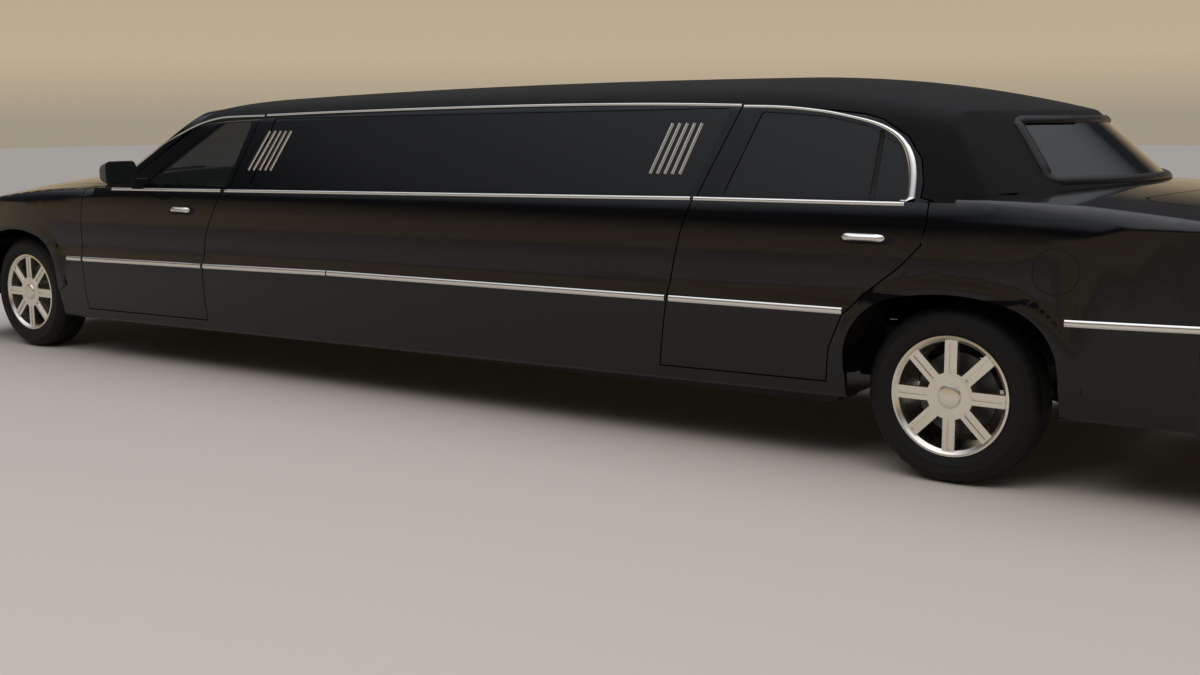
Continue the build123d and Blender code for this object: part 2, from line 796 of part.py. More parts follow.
def hood_prism(z_from, grow):
    """The hood's outline seen from above, run up to the sky."""
    with BuildPart() as prism:
        with BuildSketch(Plane.XY.offset(z_from)):
            with BuildLine():
                rear_x, corner = hood_rear
                front_corner, front_x = hood_front
                ThreePointArc((corner[0], -corner[1]), (rear_x, 0), corner)
                Polyline(corner, hood_side, front_corner)
                ThreePointArc(front_corner, (front_x, 0), (front_corner[0], -front_corner[1]))
                Polyline(
                    (front_corner[0], -front_corner[1]), (hood_side[0], -hood_side[1]), (corner[0], -corner[1]),
                )
            make_face()
            front_corners = vertices().group_by(Axis.X)[-1]
            fillet(front_corners, radius=hood_corner_radius)
            if grow:
                offset(amount=grow, kind=Kind.INTERSECTION)
        extrude(amount=1400 - z_from)
    return prism.part


bay_room = carved(side_mass(skin, 0), keep=[plan_mass(skin), slab(bay_back, ra(7000))])
bay = carved(bay_room, remove=[hood_air(ledge_depth)])
hood = carved(outer, keep=[hood_prism(780, 0), hood_air(panel_depth)])
hood_cut = carved(hood_prism(780, shut_gap), keep=[hood_air(panel_depth + seat_gap)])
bay_mouth = carved(hood_prism(500, -ledge_width), keep=[slab(bay_back, ra(6870))])

# Nose: headlamps at its corners and a grille in its middle
head_lamp_z = (640, 800)
head_lamp_y = 470
head_lamp_back = ra(6500)
head_lamp_zone = carved(
    slab(head_lamp_back, nose_x, z_from=head_lamp_z[0], z_to=head_lamp_z[1]),
    remove=[slab(tail_x, nose_x, -head_lamp_y, head_lamp_y)],
)
nose_core = carved(side_mass(skin, 0), keep=[plan_mass(skin)])
head_lamps = carved(outer, keep=[head_lamp_zone], remove=[nose_core])
grille_half = 350
grille_z = (front_bumper_top + 24, 846)
grille_corner_radius = 30
grille_ring = 24
grille_proud = 22
grille_depth = 80
grille_bar_count = 21
grille_bar_width = 12
grille_bar_depth = 30


def grille_outline(grow):
    """The grille's rounded outline seen from ahead."""
    height = grille_z[1] - grille_z[0]
    with BuildSketch() as outline:
        with Locations((0, (grille_z[0] + grille_z[1]) / 2)):
            RectangleRounded(2 * (grille_half + grow), height + 2 * grow, grille_corner_radius)
    return outline.sketch


grille_face = nose_x - bumper_reach + grille_proud
with BuildPart() as grille:
    with BuildSketch(Plane.YZ.offset(grille_face)):
        add(grille_outline(0))
        add(grille_outline(-grille_ring), mode=Mode.SUBTRACT)
    extrude(amount=-grille_depth)
    with BuildSketch(Plane.YZ.offset(grille_face - 8)):
        with Locations((0, (grille_z[0] + grille_z[1]) / 2)):
            with GridLocations(2 * (grille_half - grille_ring) / grille_bar_count, 1, grille_bar_count, 1):
                Rectangle(grille_bar_width, grille_z[1] - grille_z[0] - grille_ring)
    extrude(amount=-grille_bar_depth)
with BuildPart() as grille_hole:
    with BuildSketch(Plane.YZ.offset(nose_x)):
        add(grille_outline(seat_gap))
    extrude(amount=-400)

front_body = carved(
    outer,
    keep=[slab(ra(5290), nose_x)],
    remove=[bay, bay_mouth, hood_cut, door_openings, front_arch, side_limits, green],
)
nose_zone = slab(nose_panel_back, nose_x)
with BuildPart() as fenders_build:
    add(front_body)
    add(slab(ra(5000), bay_back, -cowl_half, cowl_half), mode=Mode.SUBTRACT)
    add(nose_zone, mode=Mode.SUBTRACT)
fender_pair = fenders_build.part.solids().sort_by(SortBy.VOLUME)[-2:]
with BuildPart() as fenders_build:
    add(fender_pair)
    add(head_lamp_zone, mode=Mode.SUBTRACT)
    add(front_liner)
    add(hinge_leaves["front_door"])
fenders = fenders_build.part
firewall = carved(outer, keep=[slab(firewall_x, firewall_x + firewall_thickness, -cowl_half, cowl_half, 340)])
cowl_top = carved(outer, keep=[slab(firewall_x, ra(5500), -cowl_half, cowl_half), hood_air(60)], remove=[hood_cut])
cowl_top = carved(cowl_top, remove=[carved(bay_mouth, remove=[hood_air(-100)])])
cowl_top = carved(cowl_top, remove=[both_sides(slab(ra(5405), ra(5510), 745, 900, 900, 1100))])
cowl = carved(cowl_top, join=[firewall], remove=[green, fenders, door_openings])
nose_shell = carved(nose_core, remove=[hood_air(ledge_depth)])
nose_panel = carved(
    outer, keep=[nose_zone], remove=[nose_shell, bay_mouth, hood_cut, head_lamp_zone, grille_hole.part]
)

# Bumpers: the plan outline spread and run out, with rounded edges, hollow behind
front_bumper_foot = 255
rear_bumper_foot = 300
bumper_top_radius = 40
bumper_foot_radius = 25
bumper_wall = (15, 40)
front_plate_z = 400
front_plate_depth = 24


def bumper(x_from, x_to, foot, top):
    """One bumper between two cross planes and two heights."""
    plan_wall, side_wall = bumper_wall
    core = carved(side_mass(side_wall, 0), keep=[plan_mass(plan_wall)])
    with BuildPart() as shell:
        add(plan_mass(0, bumper_reach, bumper_spread, foot, top))
        fillet(shell.edges().group_by(Axis.Z)[-1], radius=bumper_top_radius)
        fillet(shell.edges().group_by(Axis.Z)[0], radius=bumper_foot_radius)
        add(slab(x_from, x_to), mode=Mode.INTERSECT)
        add(core, mode=Mode.SUBTRACT)
    return shell.part


front_plate = plate_cut(nose_x, 1, front_plate_z, front_plate_depth)
front_bumper = carved(bumper(front_bumper_back, nose_x, front_bumper_foot, front_bumper_top), remove=[front_plate])
rear_bumper = bumper(tail_x, rear_bumper_front, rear_bumper_foot, rear_bumper_top)
tail_panel = carved(tail_build.part, remove=[rear_bumper])

# Floor pan: low under the cabin, up over the axle, down again under the boot
kick_foot = ra(600)
kick_head = ra(450)
rear_floor_z = 545
drop_head = ra(-600)
drop_foot = ra(-640)
boot_pan_z = 470
floor_rear = ra(-1385)


def floor_top(distance):
    """Height of the floor pan's top this far ahead of the rear axle."""
    return raked(floor_foot_z + floor_thickness, ra(distance))


floor_section = side_view(
    [
        (firewall_x, raked(floor_foot_z, firewall_x)), (firewall_x, raked(floor_foot_z + floor_thickness, firewall_x)),
        (kick_foot, floor_top(600)), (kick_head, rear_floor_z), (drop_head, rear_floor_z), (drop_foot, boot_pan_z),
        (floor_rear, boot_pan_z), (floor_rear, boot_pan_z - 20), (drop_foot + 25, boot_pan_z - 20),
        (drop_head + 25, rear_floor_z - 25), (kick_head - 15, rear_floor_z - 25),
        (kick_foot - 10, raked(floor_foot_z, kick_foot)),
    ],
    depth=1100,
)
floor = carved(
    floor_section,
    keep=[side_mass(wall + 1, 0), plan_mass(60)],
    remove=[arch_prism(rear_axle_x, liner + 2, rear_arch_inner_y - liner - 2), quarters, rear_deck, tail_panel],
)
fenders = carved(fenders, remove=[floor])

# Frame: two rails with crossmembers, and horns for the bumpers
rail_y = 460
rail_width = 80
rail_points = [
    (ra(700), 170), (ra(5450), 160), (ra(5650), 300), (ra(6850), 300), (ra(6850), 410), (ra(5560), 410),
    (firewall_x, raked(floor_foot_z, firewall_x)), (kick_foot - 10, raked(floor_foot_z, kick_foot)),
    (kick_head - 15, 520), (drop_head + 25, 520), (drop_foot + 25, 450), (ra(-1380), 450), (ra(-1380), 350),
    (ra(-560), 350), (ra(-480), 430), (ra(340), 430),
]
crossmember_distances = (900, 2150, 3400, 4600)
crossmember_size = (90, 2 * rail_y, 44)
crossmember_z = 184
end_member_rows = (
    # centre ahead of the rear axle, length, height, centre height
    (6825, 50, 90, 355),
    (-1355, 50, 80, 400),
)
horn_rows = ((6875, 300, 355), (6875, -300, 355), (-1400, 300, 400), (-1400, -300, 400))
horn_size = (80, 70, 70)
with BuildPart() as frame_build:
    with BuildSketch(Plane.XZ.offset(-(rail_y - rail_width / 2))):
        with BuildLine():
            Polyline(*rail_points, close=True)
        make_face()
    extrude(amount=-rail_width)
    mirror(about=Plane.XZ)
    for distance in crossmember_distances:
        with Locations((ra(distance), 0, crossmember_z)):
            Box(*crossmember_size)
    for distance, length, height, centre_z in end_member_rows:
        with Locations((ra(distance), 0, centre_z)):
            Box(length, 2 * rail_y, height)
    for distance, horn_y, horn_z in horn_rows:
        with Locations((ra(distance), horn_y, horn_z)):
            Box(*horn_size)
frame = carved(frame_build.part, remove=[front_bumper, rear_bumper, tail_panel])

# Wheels: spokes of even width that run out flat to the rim's lip, and a plain domed cap
half_tyre = tyre_width / 2
bead_y = half_tyre - 16
tyre_sides = 72
# Tyre rows: distance from its middle plane and radius at the corners of the many-sided outline
tread_rows = ((-half_tyre, 290), (-97, 330), (-70, tyre_radius), (70, tyre_radius), (97, 330), (half_tyre, 290))
bead_rows = ((bead_y, 238), (half_tyre, 290))
# Rim rows: radius and distance from its middle plane, round the barrel and its two lips
barrel_rows = (
    (tyre_bore_radius, -bead_y), (tyre_bore_radius, bead_y), (rim_lip_radius, bead_y),
    (rim_lip_radius, bead_y + 6), (226, bead_y + 8), (212, bead_y - 6), (205, 20), (205, -bead_y + 8),
    (212, -bead_y), (226, -bead_y - 8), (rim_lip_radius, -bead_y - 6), (rim_lip_radius, -bead_y),
)
spoke_count = 8
spoke_width = 50
spoke_end = 219
spoke_face_y = 96
spoke_thickness = 26
groove_size = (118, 14)
groove_centre = 150
groove_depth = 7
hub_radius = 80
hub_back_y = -40
hub_disc_radius = 92
cap_radius = 47
cap_rise = 9
spindle_radius = 29.5
bore_radius = 30
bore_depth = 55


def polygon_loft(rows):
    """A many-sided ring of flat facets about the axle line; rows are distance along it and radius."""
    with BuildPart() as body:
        for y, radius in rows:
            with BuildSketch(Plane.XZ.offset(-y)):
                RegularPolygon(radius, tyre_sides)
        loft(ruled=True)
    return body.part


def wheel_tyre():
    """Tyre with a flat tread, rounded shoulders and a bore that fits the rim."""
    with BuildPart() as tyre:
        add(polygon_loft(tread_rows))
        for side in (-1, 1):
            add(polygon_loft([(side * y, radius) for y, radius in bead_rows]), mode=Mode.SUBTRACT)
        with BuildSketch(Plane.XZ):
            RegularPolygon(tyre_bore_radius, tyre_sides, major_radius=False)
        extrude(amount=half_tyre + 10, both=True, mode=Mode.SUBTRACT)
    return tyre.part


def wheel_rim():
    """Barrel with two lips, its spokes, hub and cap; the outer face looks along +Y."""
    with BuildPart() as rim:
        with BuildSketch(Plane.XY):
            with BuildLine():
                Polyline(*barrel_rows, close=True)
            make_face()
        revolve(axis=Axis.Y)
        with BuildSketch(Plane.XZ.offset(-spoke_face_y)):
            with PolarLocations(0, spoke_count):
                with Locations((spoke_end / 2 + 30, 0)):
                    Rectangle(spoke_end - 60, spoke_width)
            Circle(hub_disc_radius)
        extrude(amount=spoke_thickness)
        with BuildSketch(Plane.XZ.offset(-spoke_face_y)):
            with PolarLocations(groove_centre, spoke_count):
                Rectangle(*groove_size)
        extrude(amount=groove_depth, mode=Mode.SUBTRACT)
        with BuildSketch(Plane.XY):
            with BuildLine():
                disc = hub_disc_radius - 8
                edge = (cap_radius, spoke_face_y + 4)
                crown = (0, spoke_face_y + 4 + cap_rise)
                Polyline(
                    crown, (0, hub_back_y), (hub_radius, hub_back_y), (hub_radius, spoke_face_y - 20),
                    (disc, spoke_face_y - 20), (disc, spoke_face_y + 2), (cap_radius, spoke_face_y + 2), edge,
                    (cap_radius - 4, edge[1] + cap_rise * 0.6), (cap_radius - 12, crown[1]), crown,
                )
            make_face()
        revolve(axis=Axis.Y)
        with BuildSketch(Plane.XZ.offset(-hub_back_y + 5)):
            Circle(bore_radius)
        extrude(amount=-(bore_depth - hub_back_y + 5), mode=Mode.SUBTRACT)
    return rim.part


rim_shape = wheel_rim()
tyre_shape = wheel_tyre()
wheel_rows = (
    # corner, axle line, wheel centre's Y, 1 where the outer face looks to the left
    ("front_left", front_axle_x, front_track / 2, 1),
    ("front_right", front_axle_x, -front_track / 2, -1),
    ("rear_left", rear_axle_x, rear_track / 2, 1),
    ("rear_right", rear_axle_x, -rear_track / 2, -1),
)
wheels = {}
for corner, axle_x, wheel_y, side in wheel_rows:
    for shape, kind in ((tyre_shape, "tyre"), (rim_shape, "rim")):
        with BuildPart() as placed:
            with Locations(Location((axle_x, wheel_y, tyre_radius), (0, 0, 0 if side > 0 else 180))):
                add(shape)
        wheels[f"{kind}_{corner}"] = placed.part

# Knuckles, arms and axle
knuckle_radius = 30
knuckle_height = 260
knuckle_block = (90, 44, 100)
flange_radius = 60
flange_back_y = kingpin_y + 20
flange_thickness = 38
spindle_length = 120
arm_clearance = 30.5
arm_rows = (
    # inner end's Y, length in X, height, centre height
    (480, 60, 30, 260),
    (480, 50, 24, 440),
)
with BuildPart() as knuckle_build:
    with Locations((front_axle_x, kingpin_y, tyre_radius)):
        Cylinder(knuckle_radius, knuckle_height)
    with Locations((front_axle_x, kingpin_y + 18, tyre_radius)):
        Box(*knuckle_block)
    for radius, length in ((flange_radius, flange_thickness), (spindle_radius, spindle_length)):
        with BuildSketch(Plane.XZ.offset(-flange_back_y)):
            with Locations((front_axle_x, tyre_radius)):
                Circle(radius)
        extrude(amount=-length)
knuckle_left = knuckle_build.part
knuckle_right = mirrored(knuckle_left)

with BuildPart() as suspension_build:
    with Locations((front_axle_x, 0, 255)):
        Box(140, 2 * rail_y + 90, 90)
    for side in (-1, 1):
        for inner_y, length, height, centre_z in arm_rows:
            outer_y = kingpin_y - arm_clearance
            with Locations((front_axle_x, side * (inner_y + outer_y) / 2, centre_z)):
                Box(length, outer_y - inner_y, height)
        with Locations((front_axle_x, side * 530, 350)):
            Box(100, 50, 200)
suspension = carved(suspension_build.part, remove=[frame])

with BuildPart() as axle_build:
    for radius, end_y in ((spindle_radius, rear_track / 2 + 30), (42, rear_track / 2 - 50)):
        with BuildSketch(Plane.XZ.offset(-end_y)):
            with Locations((rear_axle_x, tyre_radius)):
                Circle(radius)
        extrude(amount=2 * end_y)
    with Locations((rear_axle_x, 0, tyre_radius)):
        Sphere(130)
    for spring_y in (-rail_y, rail_y):
        with BuildSketch(Plane.XY.offset(tyre_radius)):
            with Locations((rear_axle_x, spring_y)):
                Circle(38)
        extrude(amount=430 - tyre_radius)
rear_axle = axle_build.part

# Mirrors on the front doors: a housing that narrows ahead, on an arm
mirror_y = 1055
mirror_z = 1110
mirror_back = ra(4845)
mirror_back_size = (205, 136)
mirror_front_size = (150, 96)
mirror_depth = 112
mirror_corner_radius = 34
mirror_front_radius = 22
mirror_arm = (ra(4905), 1056, 62, 34)
with BuildPart() as mirror_build:
    with BuildSketch(Plane.YZ.offset(mirror_back)):
        with Locations((mirror_y, mirror_z)):
            RectangleRounded(*mirror_back_size, mirror_corner_radius)
    with BuildSketch(Plane.YZ.offset(mirror_back + mirror_depth)):
        with Locations((mirror_y - 10, mirror_z)):
            RectangleRounded(*mirror_front_size, mirror_corner_radius)
    loft()
    fillet(mirror_build.edges().group_by(Axis.X)[-1], radius=mirror_front_radius)
    arm_x, arm_z, arm_length, arm_height = mirror_arm
    with BuildSketch(Plane.XZ.offset(-960)):
        with Locations((arm_x, arm_z)):
            Rectangle(arm_length, arm_height)
    extrude(amount=160)
mirror_whole = carved(mirror_build.part, remove=[doors["front_door"], door_glass["front_door"]])
mirror_left = mirror_whole.solids().sort_by(SortBy.VOLUME)[-1]


def rounded_block(x_from, x_to, y_from, y_to, z_from, z_to, radius):
    """A block with all its edges rounded."""
    with BuildPart() as block:
        with Locations(((x_from + x_to) / 2, (y_from + y_to) / 2, (z_from + z_to) / 2)):
            Box(x_to - x_from, y_to - y_from, z_to - z_from)
        fillet(block.edges(), radius=radius)
    return block.part


# Inside: dashboard, steering wheel, seats, partition and bar
dashboard = side_view(
    [
        (firewall_x, 560), (firewall_x, 990), (ra(5120), 1000), (ra(4900), 950), (ra(4830), 880),
        (ra(4860), 760), (ra(5060), 640), (ra(5100), 560),
    ],
    depth=800,
)
steering_centre = (ra(4760), 400, 860)
steering_facing = (-0.92, 0, 0.39)
steering_ring = (178, 13)
steering_column = (26, 130)
with BuildPart() as steering_build:
    wheel_plane = Plane(origin=steering_centre, x_dir=(0, 1, 0), z_dir=steering_facing)
    with Locations(wheel_plane.location):
        Torus(*steering_ring)
    with BuildSketch(wheel_plane):
        Rectangle(2 * steering_ring[0], 40)
        Circle(55)
    extrude(amount=9, both=True)
    with BuildSketch(wheel_plane):
        Circle(steering_column[0])
    extrude(amount=-steering_column[1])
steering_wheel = carved(steering_build.part, remove=[dashboard])

seat_y = 380
seat_width = 540
seat_front = ra(4640)
seat_back = ra(4150)
seat_foot_z = floor_top(0) + 80
seat_top_z = 640
seat_back_top_z = 1180
with BuildPart() as seats_build:
    for y in (-seat_y, seat_y):
        y_from, y_to = y - seat_width / 2, y + seat_width / 2
        add(rounded_block(seat_back, seat_front, y_from, y_to, seat_foot_z, seat_top_z, 30))
        add(rounded_block(seat_back - 130, seat_back + 60, y_from, y_to, seat_top_z - 60, seat_back_top_z, 30))
        add(slab(ra(4180), ra(4600), y - 200, y + 200, floor_top(4150), seat_foot_z + 40))
front_seats = carved(seats_build.part, remove=[floor])

# Benches and bar: rows of X from and to, Y from and to, Z from and to, edge radius
rear_bench_rows = (
    (ra(-420), ra(180), -585, 585, rear_floor_z + seat_gap, 700, 30),
    (ra(-555), ra(-330), -585, 585, 680, 1080, 40),
)
side_bench_rows = (
    (ra(1500), ra(3600), -880, -430, floor_top(1500), 680, 25),
    (ra(1500), ra(3600), -880, -760, 660, 960, 25),
)
bar_rows = ((ra(1900), ra(3700), 600, 880, floor_top(1900), 780, 12),)


def furniture(rows, remove):
    """Rounded blocks joined into one piece, then cut clear of what they stand on."""
    with BuildPart() as piece:
        for row in rows:
            add(rounded_block(*row))
    return carved(piece.part, remove=remove)


rear_bench = furniture(rear_bench_rows, [rear_deck])
side_bench = furniture(side_bench_rows, [floor, sides])
bar = furniture(bar_rows, [floor, sides])

partition_front = ra(3960)
partition_thickness = 40
partition_window = (-420, 420, 900, 1350)
below_belt = carved(side_mass(wall + 1, 0), keep=[slab(tail_x, nose_x, z_to=1045)])
with BuildPart() as partition_build:
    add(slab(partition_front - partition_thickness, partition_front, -1000, 1000, floor_top(3960), 1700))
    add(carved(below_belt, join=[green_mass(green_wall + 1)]), mode=Mode.INTERSECT)
    add(slab(partition_front - 100, partition_front + 100, *partition_window), mode=Mode.SUBTRACT)
    add(floor, mode=Mode.SUBTRACT)
    add(sides, mode=Mode.SUBTRACT)
partition = partition_build.part

# Engine block, gearbox with the propeller shaft, exhaust and fuel tank
engine = carved(
    slab(ra(5480), ra(6200), -290, 290, 430, 850),
    join=[slab(ra(5480), ra(6150), -210, 210, 300, 440)],
    remove=[suspension, cowl],
)
gearbox_size = (700, 240, 120)
gearbox_centre = (ra(5090), 0, 215)
shaft_radius = 38
shaft_z = tyre_radius - 100
shaft_rear = ra(60)
shaft_length = 4770
with BuildPart() as drive_build:
    with Locations(gearbox_centre):
        Box(*gearbox_size)
    with BuildSketch(Plane.YZ.offset(shaft_rear)):
        with Locations((0, shaft_z)):
            Circle(shaft_radius)
    extrude(amount=shaft_length)
driveline = carved(drive_build.part, remove=[floor, engine, rear_axle])

pipe_y = -250
pipe_radius = 24
pipe_rear = ra(-1475)
pipe_front = ra(5600)
pipe_z = crossmember_z + crossmember_size[2] / 2 + pipe_radius + seat_gap
muffler_rear = ra(1150)
muffler_length = 600
muffler_radii = (100, 44)
with BuildPart() as exhaust_build:
    with BuildSketch(Plane.YZ.offset(pipe_rear)):
        with Locations((pipe_y, pipe_z)):
            Circle(pipe_radius)
    extrude(amount=pipe_front - pipe_rear)
    with BuildSketch(Plane.YZ.offset(muffler_rear)):
        with Locations((pipe_y, pipe_z)):
            Ellipse(*muffler_radii)
    extrude(amount=muffler_length)
    with BuildSketch(Plane.XY.offset(pipe_z)):
        with Locations((pipe_front, pipe_y)):
            Circle(pipe_radius)
    extrude(amount=430 - seat_gap - pipe_z)
    with BuildSketch(Plane.YZ.offset(pipe_rear)):
        with Locations((pipe_y, pipe_z)):
            Circle(pipe_radius - 4)
    extrude(amount=300, mode=Mode.SUBTRACT)
exhaust = carved(exhaust_build.part, remove=[engine, suspension])
tank = rounded_block(ra(-1250), ra(-700), -400, 400, 300, boot_pan_z - 20 - seat_gap, 20)

for piece, name in (
    (frame, "frame"), (floor, "floor_pan"), (sides, "stretch_sides"), (quarters, "rear_quarters"),
    (rear_deck, "rear_deck"), (tail_panel, "tail_panel"), (roof_shell, "roof_shell"),
    (screen_frame, "windscreen_frame"), (cowl, "cowl"), (fenders, "front_fenders"), (nose_panel, "nose_panel"),
    (grille.part, "grille"), (head_lamps, "head_lamps"), (tail_lamps, "tail_lamps"), (hood, "hood"),
    (lid.part, "boot_lid"), (front_bumper, "front_bumper"), (rear_bumper, "rear_bumper"),
    (windscreen, "windscreen"), (rear_window, "rear_window"), (side_glass, "side_glass"),
    (knuckle_left, "knuckle_left"), (knuckle_right, "knuckle_right"), (suspension, "front_suspension"),
    (rear_axle, "rear_axle"), (dashboard, "dashboard"), (steering_wheel, "steering_wheel"),
    (front_seats, "front_seats"), (rear_bench, "rear_bench"), (side_bench, "side_bench"), (bar, "bar_cabinet"),
    (partition, "partition"), (engine, "engine"), (driveline, "driveline"), (exhaust, "exhaust"),
    (tank, "fuel_tank"), (mirror_left, "mirror_left"), (mirrored(mirror_left), "mirror_right"),
):
    write(piece, name)
for name, piece in wheels.items():
    write(piece, name)
for name in doors:
    write(doors[name], f"{name}_left")
    write(mirrored(doors[name]), f"{name}_right")
    write(door_glass[name], f"{name}_glass_left")
    write(mirrored(door_glass[name]), f"{name}_glass_right")
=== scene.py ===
import json
import math

import bmesh
import bpy
from mathutils import Matrix, Vector
from mathutils.bvhtree import BVHTree


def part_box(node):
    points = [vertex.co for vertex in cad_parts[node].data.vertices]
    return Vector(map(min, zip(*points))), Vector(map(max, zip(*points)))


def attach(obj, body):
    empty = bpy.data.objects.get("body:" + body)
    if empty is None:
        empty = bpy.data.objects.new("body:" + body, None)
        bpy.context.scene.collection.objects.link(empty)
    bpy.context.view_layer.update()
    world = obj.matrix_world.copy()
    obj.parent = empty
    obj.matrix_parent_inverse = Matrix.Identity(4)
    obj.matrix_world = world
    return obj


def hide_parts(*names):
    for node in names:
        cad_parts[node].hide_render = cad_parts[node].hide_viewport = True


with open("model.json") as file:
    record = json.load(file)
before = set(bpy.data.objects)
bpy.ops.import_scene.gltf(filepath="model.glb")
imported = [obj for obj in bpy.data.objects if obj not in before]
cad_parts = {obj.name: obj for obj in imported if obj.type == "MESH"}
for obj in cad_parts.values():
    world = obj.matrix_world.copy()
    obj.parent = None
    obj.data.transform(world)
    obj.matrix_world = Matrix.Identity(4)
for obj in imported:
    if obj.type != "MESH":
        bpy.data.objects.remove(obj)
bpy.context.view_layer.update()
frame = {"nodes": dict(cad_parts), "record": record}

NODES = frame["nodes"]

# Photograph: image size, the lens and the camera's place
IMAGE_WIDTH = 1200
FOCAL_PIXELS = 1426
SENSOR_WIDTH = 36
PRINCIPAL_DROP_PIXELS = 1.9
CAMERA_PLACE = Vector((-4.7595, 6.065, 1.412))
CAMERA_YAW = math.radians(35.44)
CAMERA_PITCH = math.radians(-8.9)
CAMERA_ROLL = math.radians(-0.33)

REAR_AXLE_X = -2.7435
FRONT_AXLE_X = 3.2945
TYRE_RADIUS = 0.345


def ahead(distance):
    """X of a point this far ahead of the rear axle, in metres."""
    return REAR_AXLE_X + distance


# Materials
NOISE_DETAIL = 4
RIB_DEPTH = 0.003


def new_material(name, color, metallic=0.0, roughness=0.5, **sockets):
    """A Principled material; sockets are given as coat=1.0, coat_roughness=0.03 and so on."""
    mat = bpy.data.materials.new(name)
    mat.use_nodes = True
    shader = mat.node_tree.nodes["Principled BSDF"]
    shader.inputs["Base Color"].default_value = (*color, 1)
    shader.inputs["Metallic"].default_value = metallic
    shader.inputs["Roughness"].default_value = roughness
    names = {
        "coat": "Coat Weight", "coat_roughness": "Coat Roughness",
        "specular": "Specular IOR Level", "alpha": "Alpha",
    }
    for key, value in sockets.items():
        shader.inputs[names[key]].default_value = value
    return mat


def add_noise_bump(mat, scale, strength, distance, stretch=(1, 1, 1)):
    """Noise bump in object space, stretched along the axes."""
    tree = mat.node_tree
    coords = tree.nodes.new("ShaderNodeTexCoord")
    mapping = tree.nodes.new("ShaderNodeMapping")
    noise = tree.nodes.new("ShaderNodeTexNoise")
    bump = tree.nodes.new("ShaderNodeBump")
    mapping.inputs["Scale"].default_value = stretch
    noise.inputs["Scale"].default_value = scale
    noise.inputs["Detail"].default_value = NOISE_DETAIL
    bump.inputs["Strength"].default_value = strength
    bump.inputs["Distance"].default_value = distance
    tree.links.new(coords.outputs["Object"], mapping.inputs["Vector"])
    tree.links.new(mapping.outputs["Vector"], noise.inputs["Vector"])
    tree.links.new(noise.outputs["Fac"], bump.inputs["Height"])
    tree.links.new(bump.outputs["Normal"], tree.nodes["Principled BSDF"].inputs["Normal"])


def add_roughness_noise(mat, scale, low, high):
    """Roughness that wanders between two values."""
    tree = mat.node_tree
    coords = tree.nodes.new("ShaderNodeTexCoord")
    noise = tree.nodes.new("ShaderNodeTexNoise")
    ramp = tree.nodes.new("ShaderNodeMapRange")
    noise.inputs["Scale"].default_value = scale
    ramp.inputs["To Min"].default_value = low
    ramp.inputs["To Max"].default_value = high
    tree.links.new(coords.outputs["Object"], noise.inputs["Vector"])
    tree.links.new(noise.outputs["Fac"], ramp.inputs["Value"])
    tree.links.new(ramp.outputs["Result"], tree.nodes["Principled BSDF"].inputs["Roughness"])


def add_ribs(mat, scale, strength, axis):
    """Moulded ribs across a lamp lens."""
    tree = mat.node_tree
    coords = tree.nodes.new("ShaderNodeTexCoord")
    wave = tree.nodes.new("ShaderNodeTexWave")
    bump = tree.nodes.new("ShaderNodeBump")
    wave.bands_direction = axis
    wave.inputs["Scale"].default_value = scale
    bump.inputs["Strength"].default_value = strength
    bump.inputs["Distance"].default_value = RIB_DEPTH
    tree.links.new(coords.outputs["Object"], wave.inputs["Vector"])
    tree.links.new(wave.outputs["Fac"], bump.inputs["Height"])
    tree.links.new(bump.outputs["Normal"], tree.nodes["Principled BSDF"].inputs["Normal"])


MATERIALS = {
    "body_paint": new_material(
        "black_paint", (0.0015, 0.0015, 0.0018), 0.0, 0.25, coat=0.75, coat_roughness=0.01, specular=0.05,
    ),
    "roof_vinyl": new_material("black_vinyl", (0.0035, 0.0035, 0.0035), 0.0, 0.6, specular=0.14),
    "dark_glass": new_material("tinted_glass", (0.003, 0.003, 0.003), 0.0, 0.015, alpha=0.96, specular=0.5),
    "clear_glass": new_material(
        "clear_glass_pane", (0.012, 0.016, 0.014), 0.0, 0.015, alpha=0.5, specular=0.55,
    ),
    "bright_trim": new_material("chrome", (0.82, 0.80, 0.76), 1.0, 0.08),
    "lamp_lens": new_material("clear_lens", (0.40, 0.42, 0.44), 0.85, 0.10, coat=1.0),
    "red_lens": new_material("red_lens_plastic", (0.22, 0.004, 0.004), 0.0, 0.1, coat=1.0),
    "chassis_black": new_material("underbody_black", (0.010, 0.010, 0.010), 0.0, 0.6),
    "engine_metal": new_material("cast_metal", (0.16, 0.16, 0.16), 0.8, 0.5),
    "dark_plastic": new_material("moulded_plastic", (0.010, 0.010, 0.010), 0.0, 0.4),
    "seat_leather": new_material("black_leather", (0.018, 0.017, 0.016), 0.0, 0.42),
    "bar_wood": new_material("lacquered_wood", (0.10, 0.04, 0.015), 0.0, 0.25, coat=0.8),
    "tyre_rubber": new_material("black_rubber", (0.006, 0.006, 0.006), 0.0, 0.6, specular=0.25),
    "wheel_alloy": new_material("bright_alloy", (0.84, 0.80, 0.72), 1.0, 0.26),
}
add_noise_bump(MATERIALS["body_paint"], scale=5, strength=0.03, distance=0.002, stretch=(0.35, 1, 1))
add_noise_bump(MATERIALS["roof_vinyl"], scale=700, strength=0.7, distance=0.0008)
add_noise_bump(MATERIALS["seat_leather"], scale=420, strength=0.35, distance=0.0006)
add_noise_bump(MATERIALS["tyre_rubber"], scale=300, strength=0.3, distance=0.0006)
add_roughness_noise(MATERIALS["bright_trim"], scale=25, low=0.05, high=0.15)
add_roughness_noise(MATERIALS["wheel_alloy"], scale=12, low=0.22, high=0.32)
add_ribs(MATERIALS["lamp_lens"], scale=22, strength=0.8, axis="Y")
add_ribs(MATERIALS["red_lens"], scale=30, strength=0.5, axis="Z")

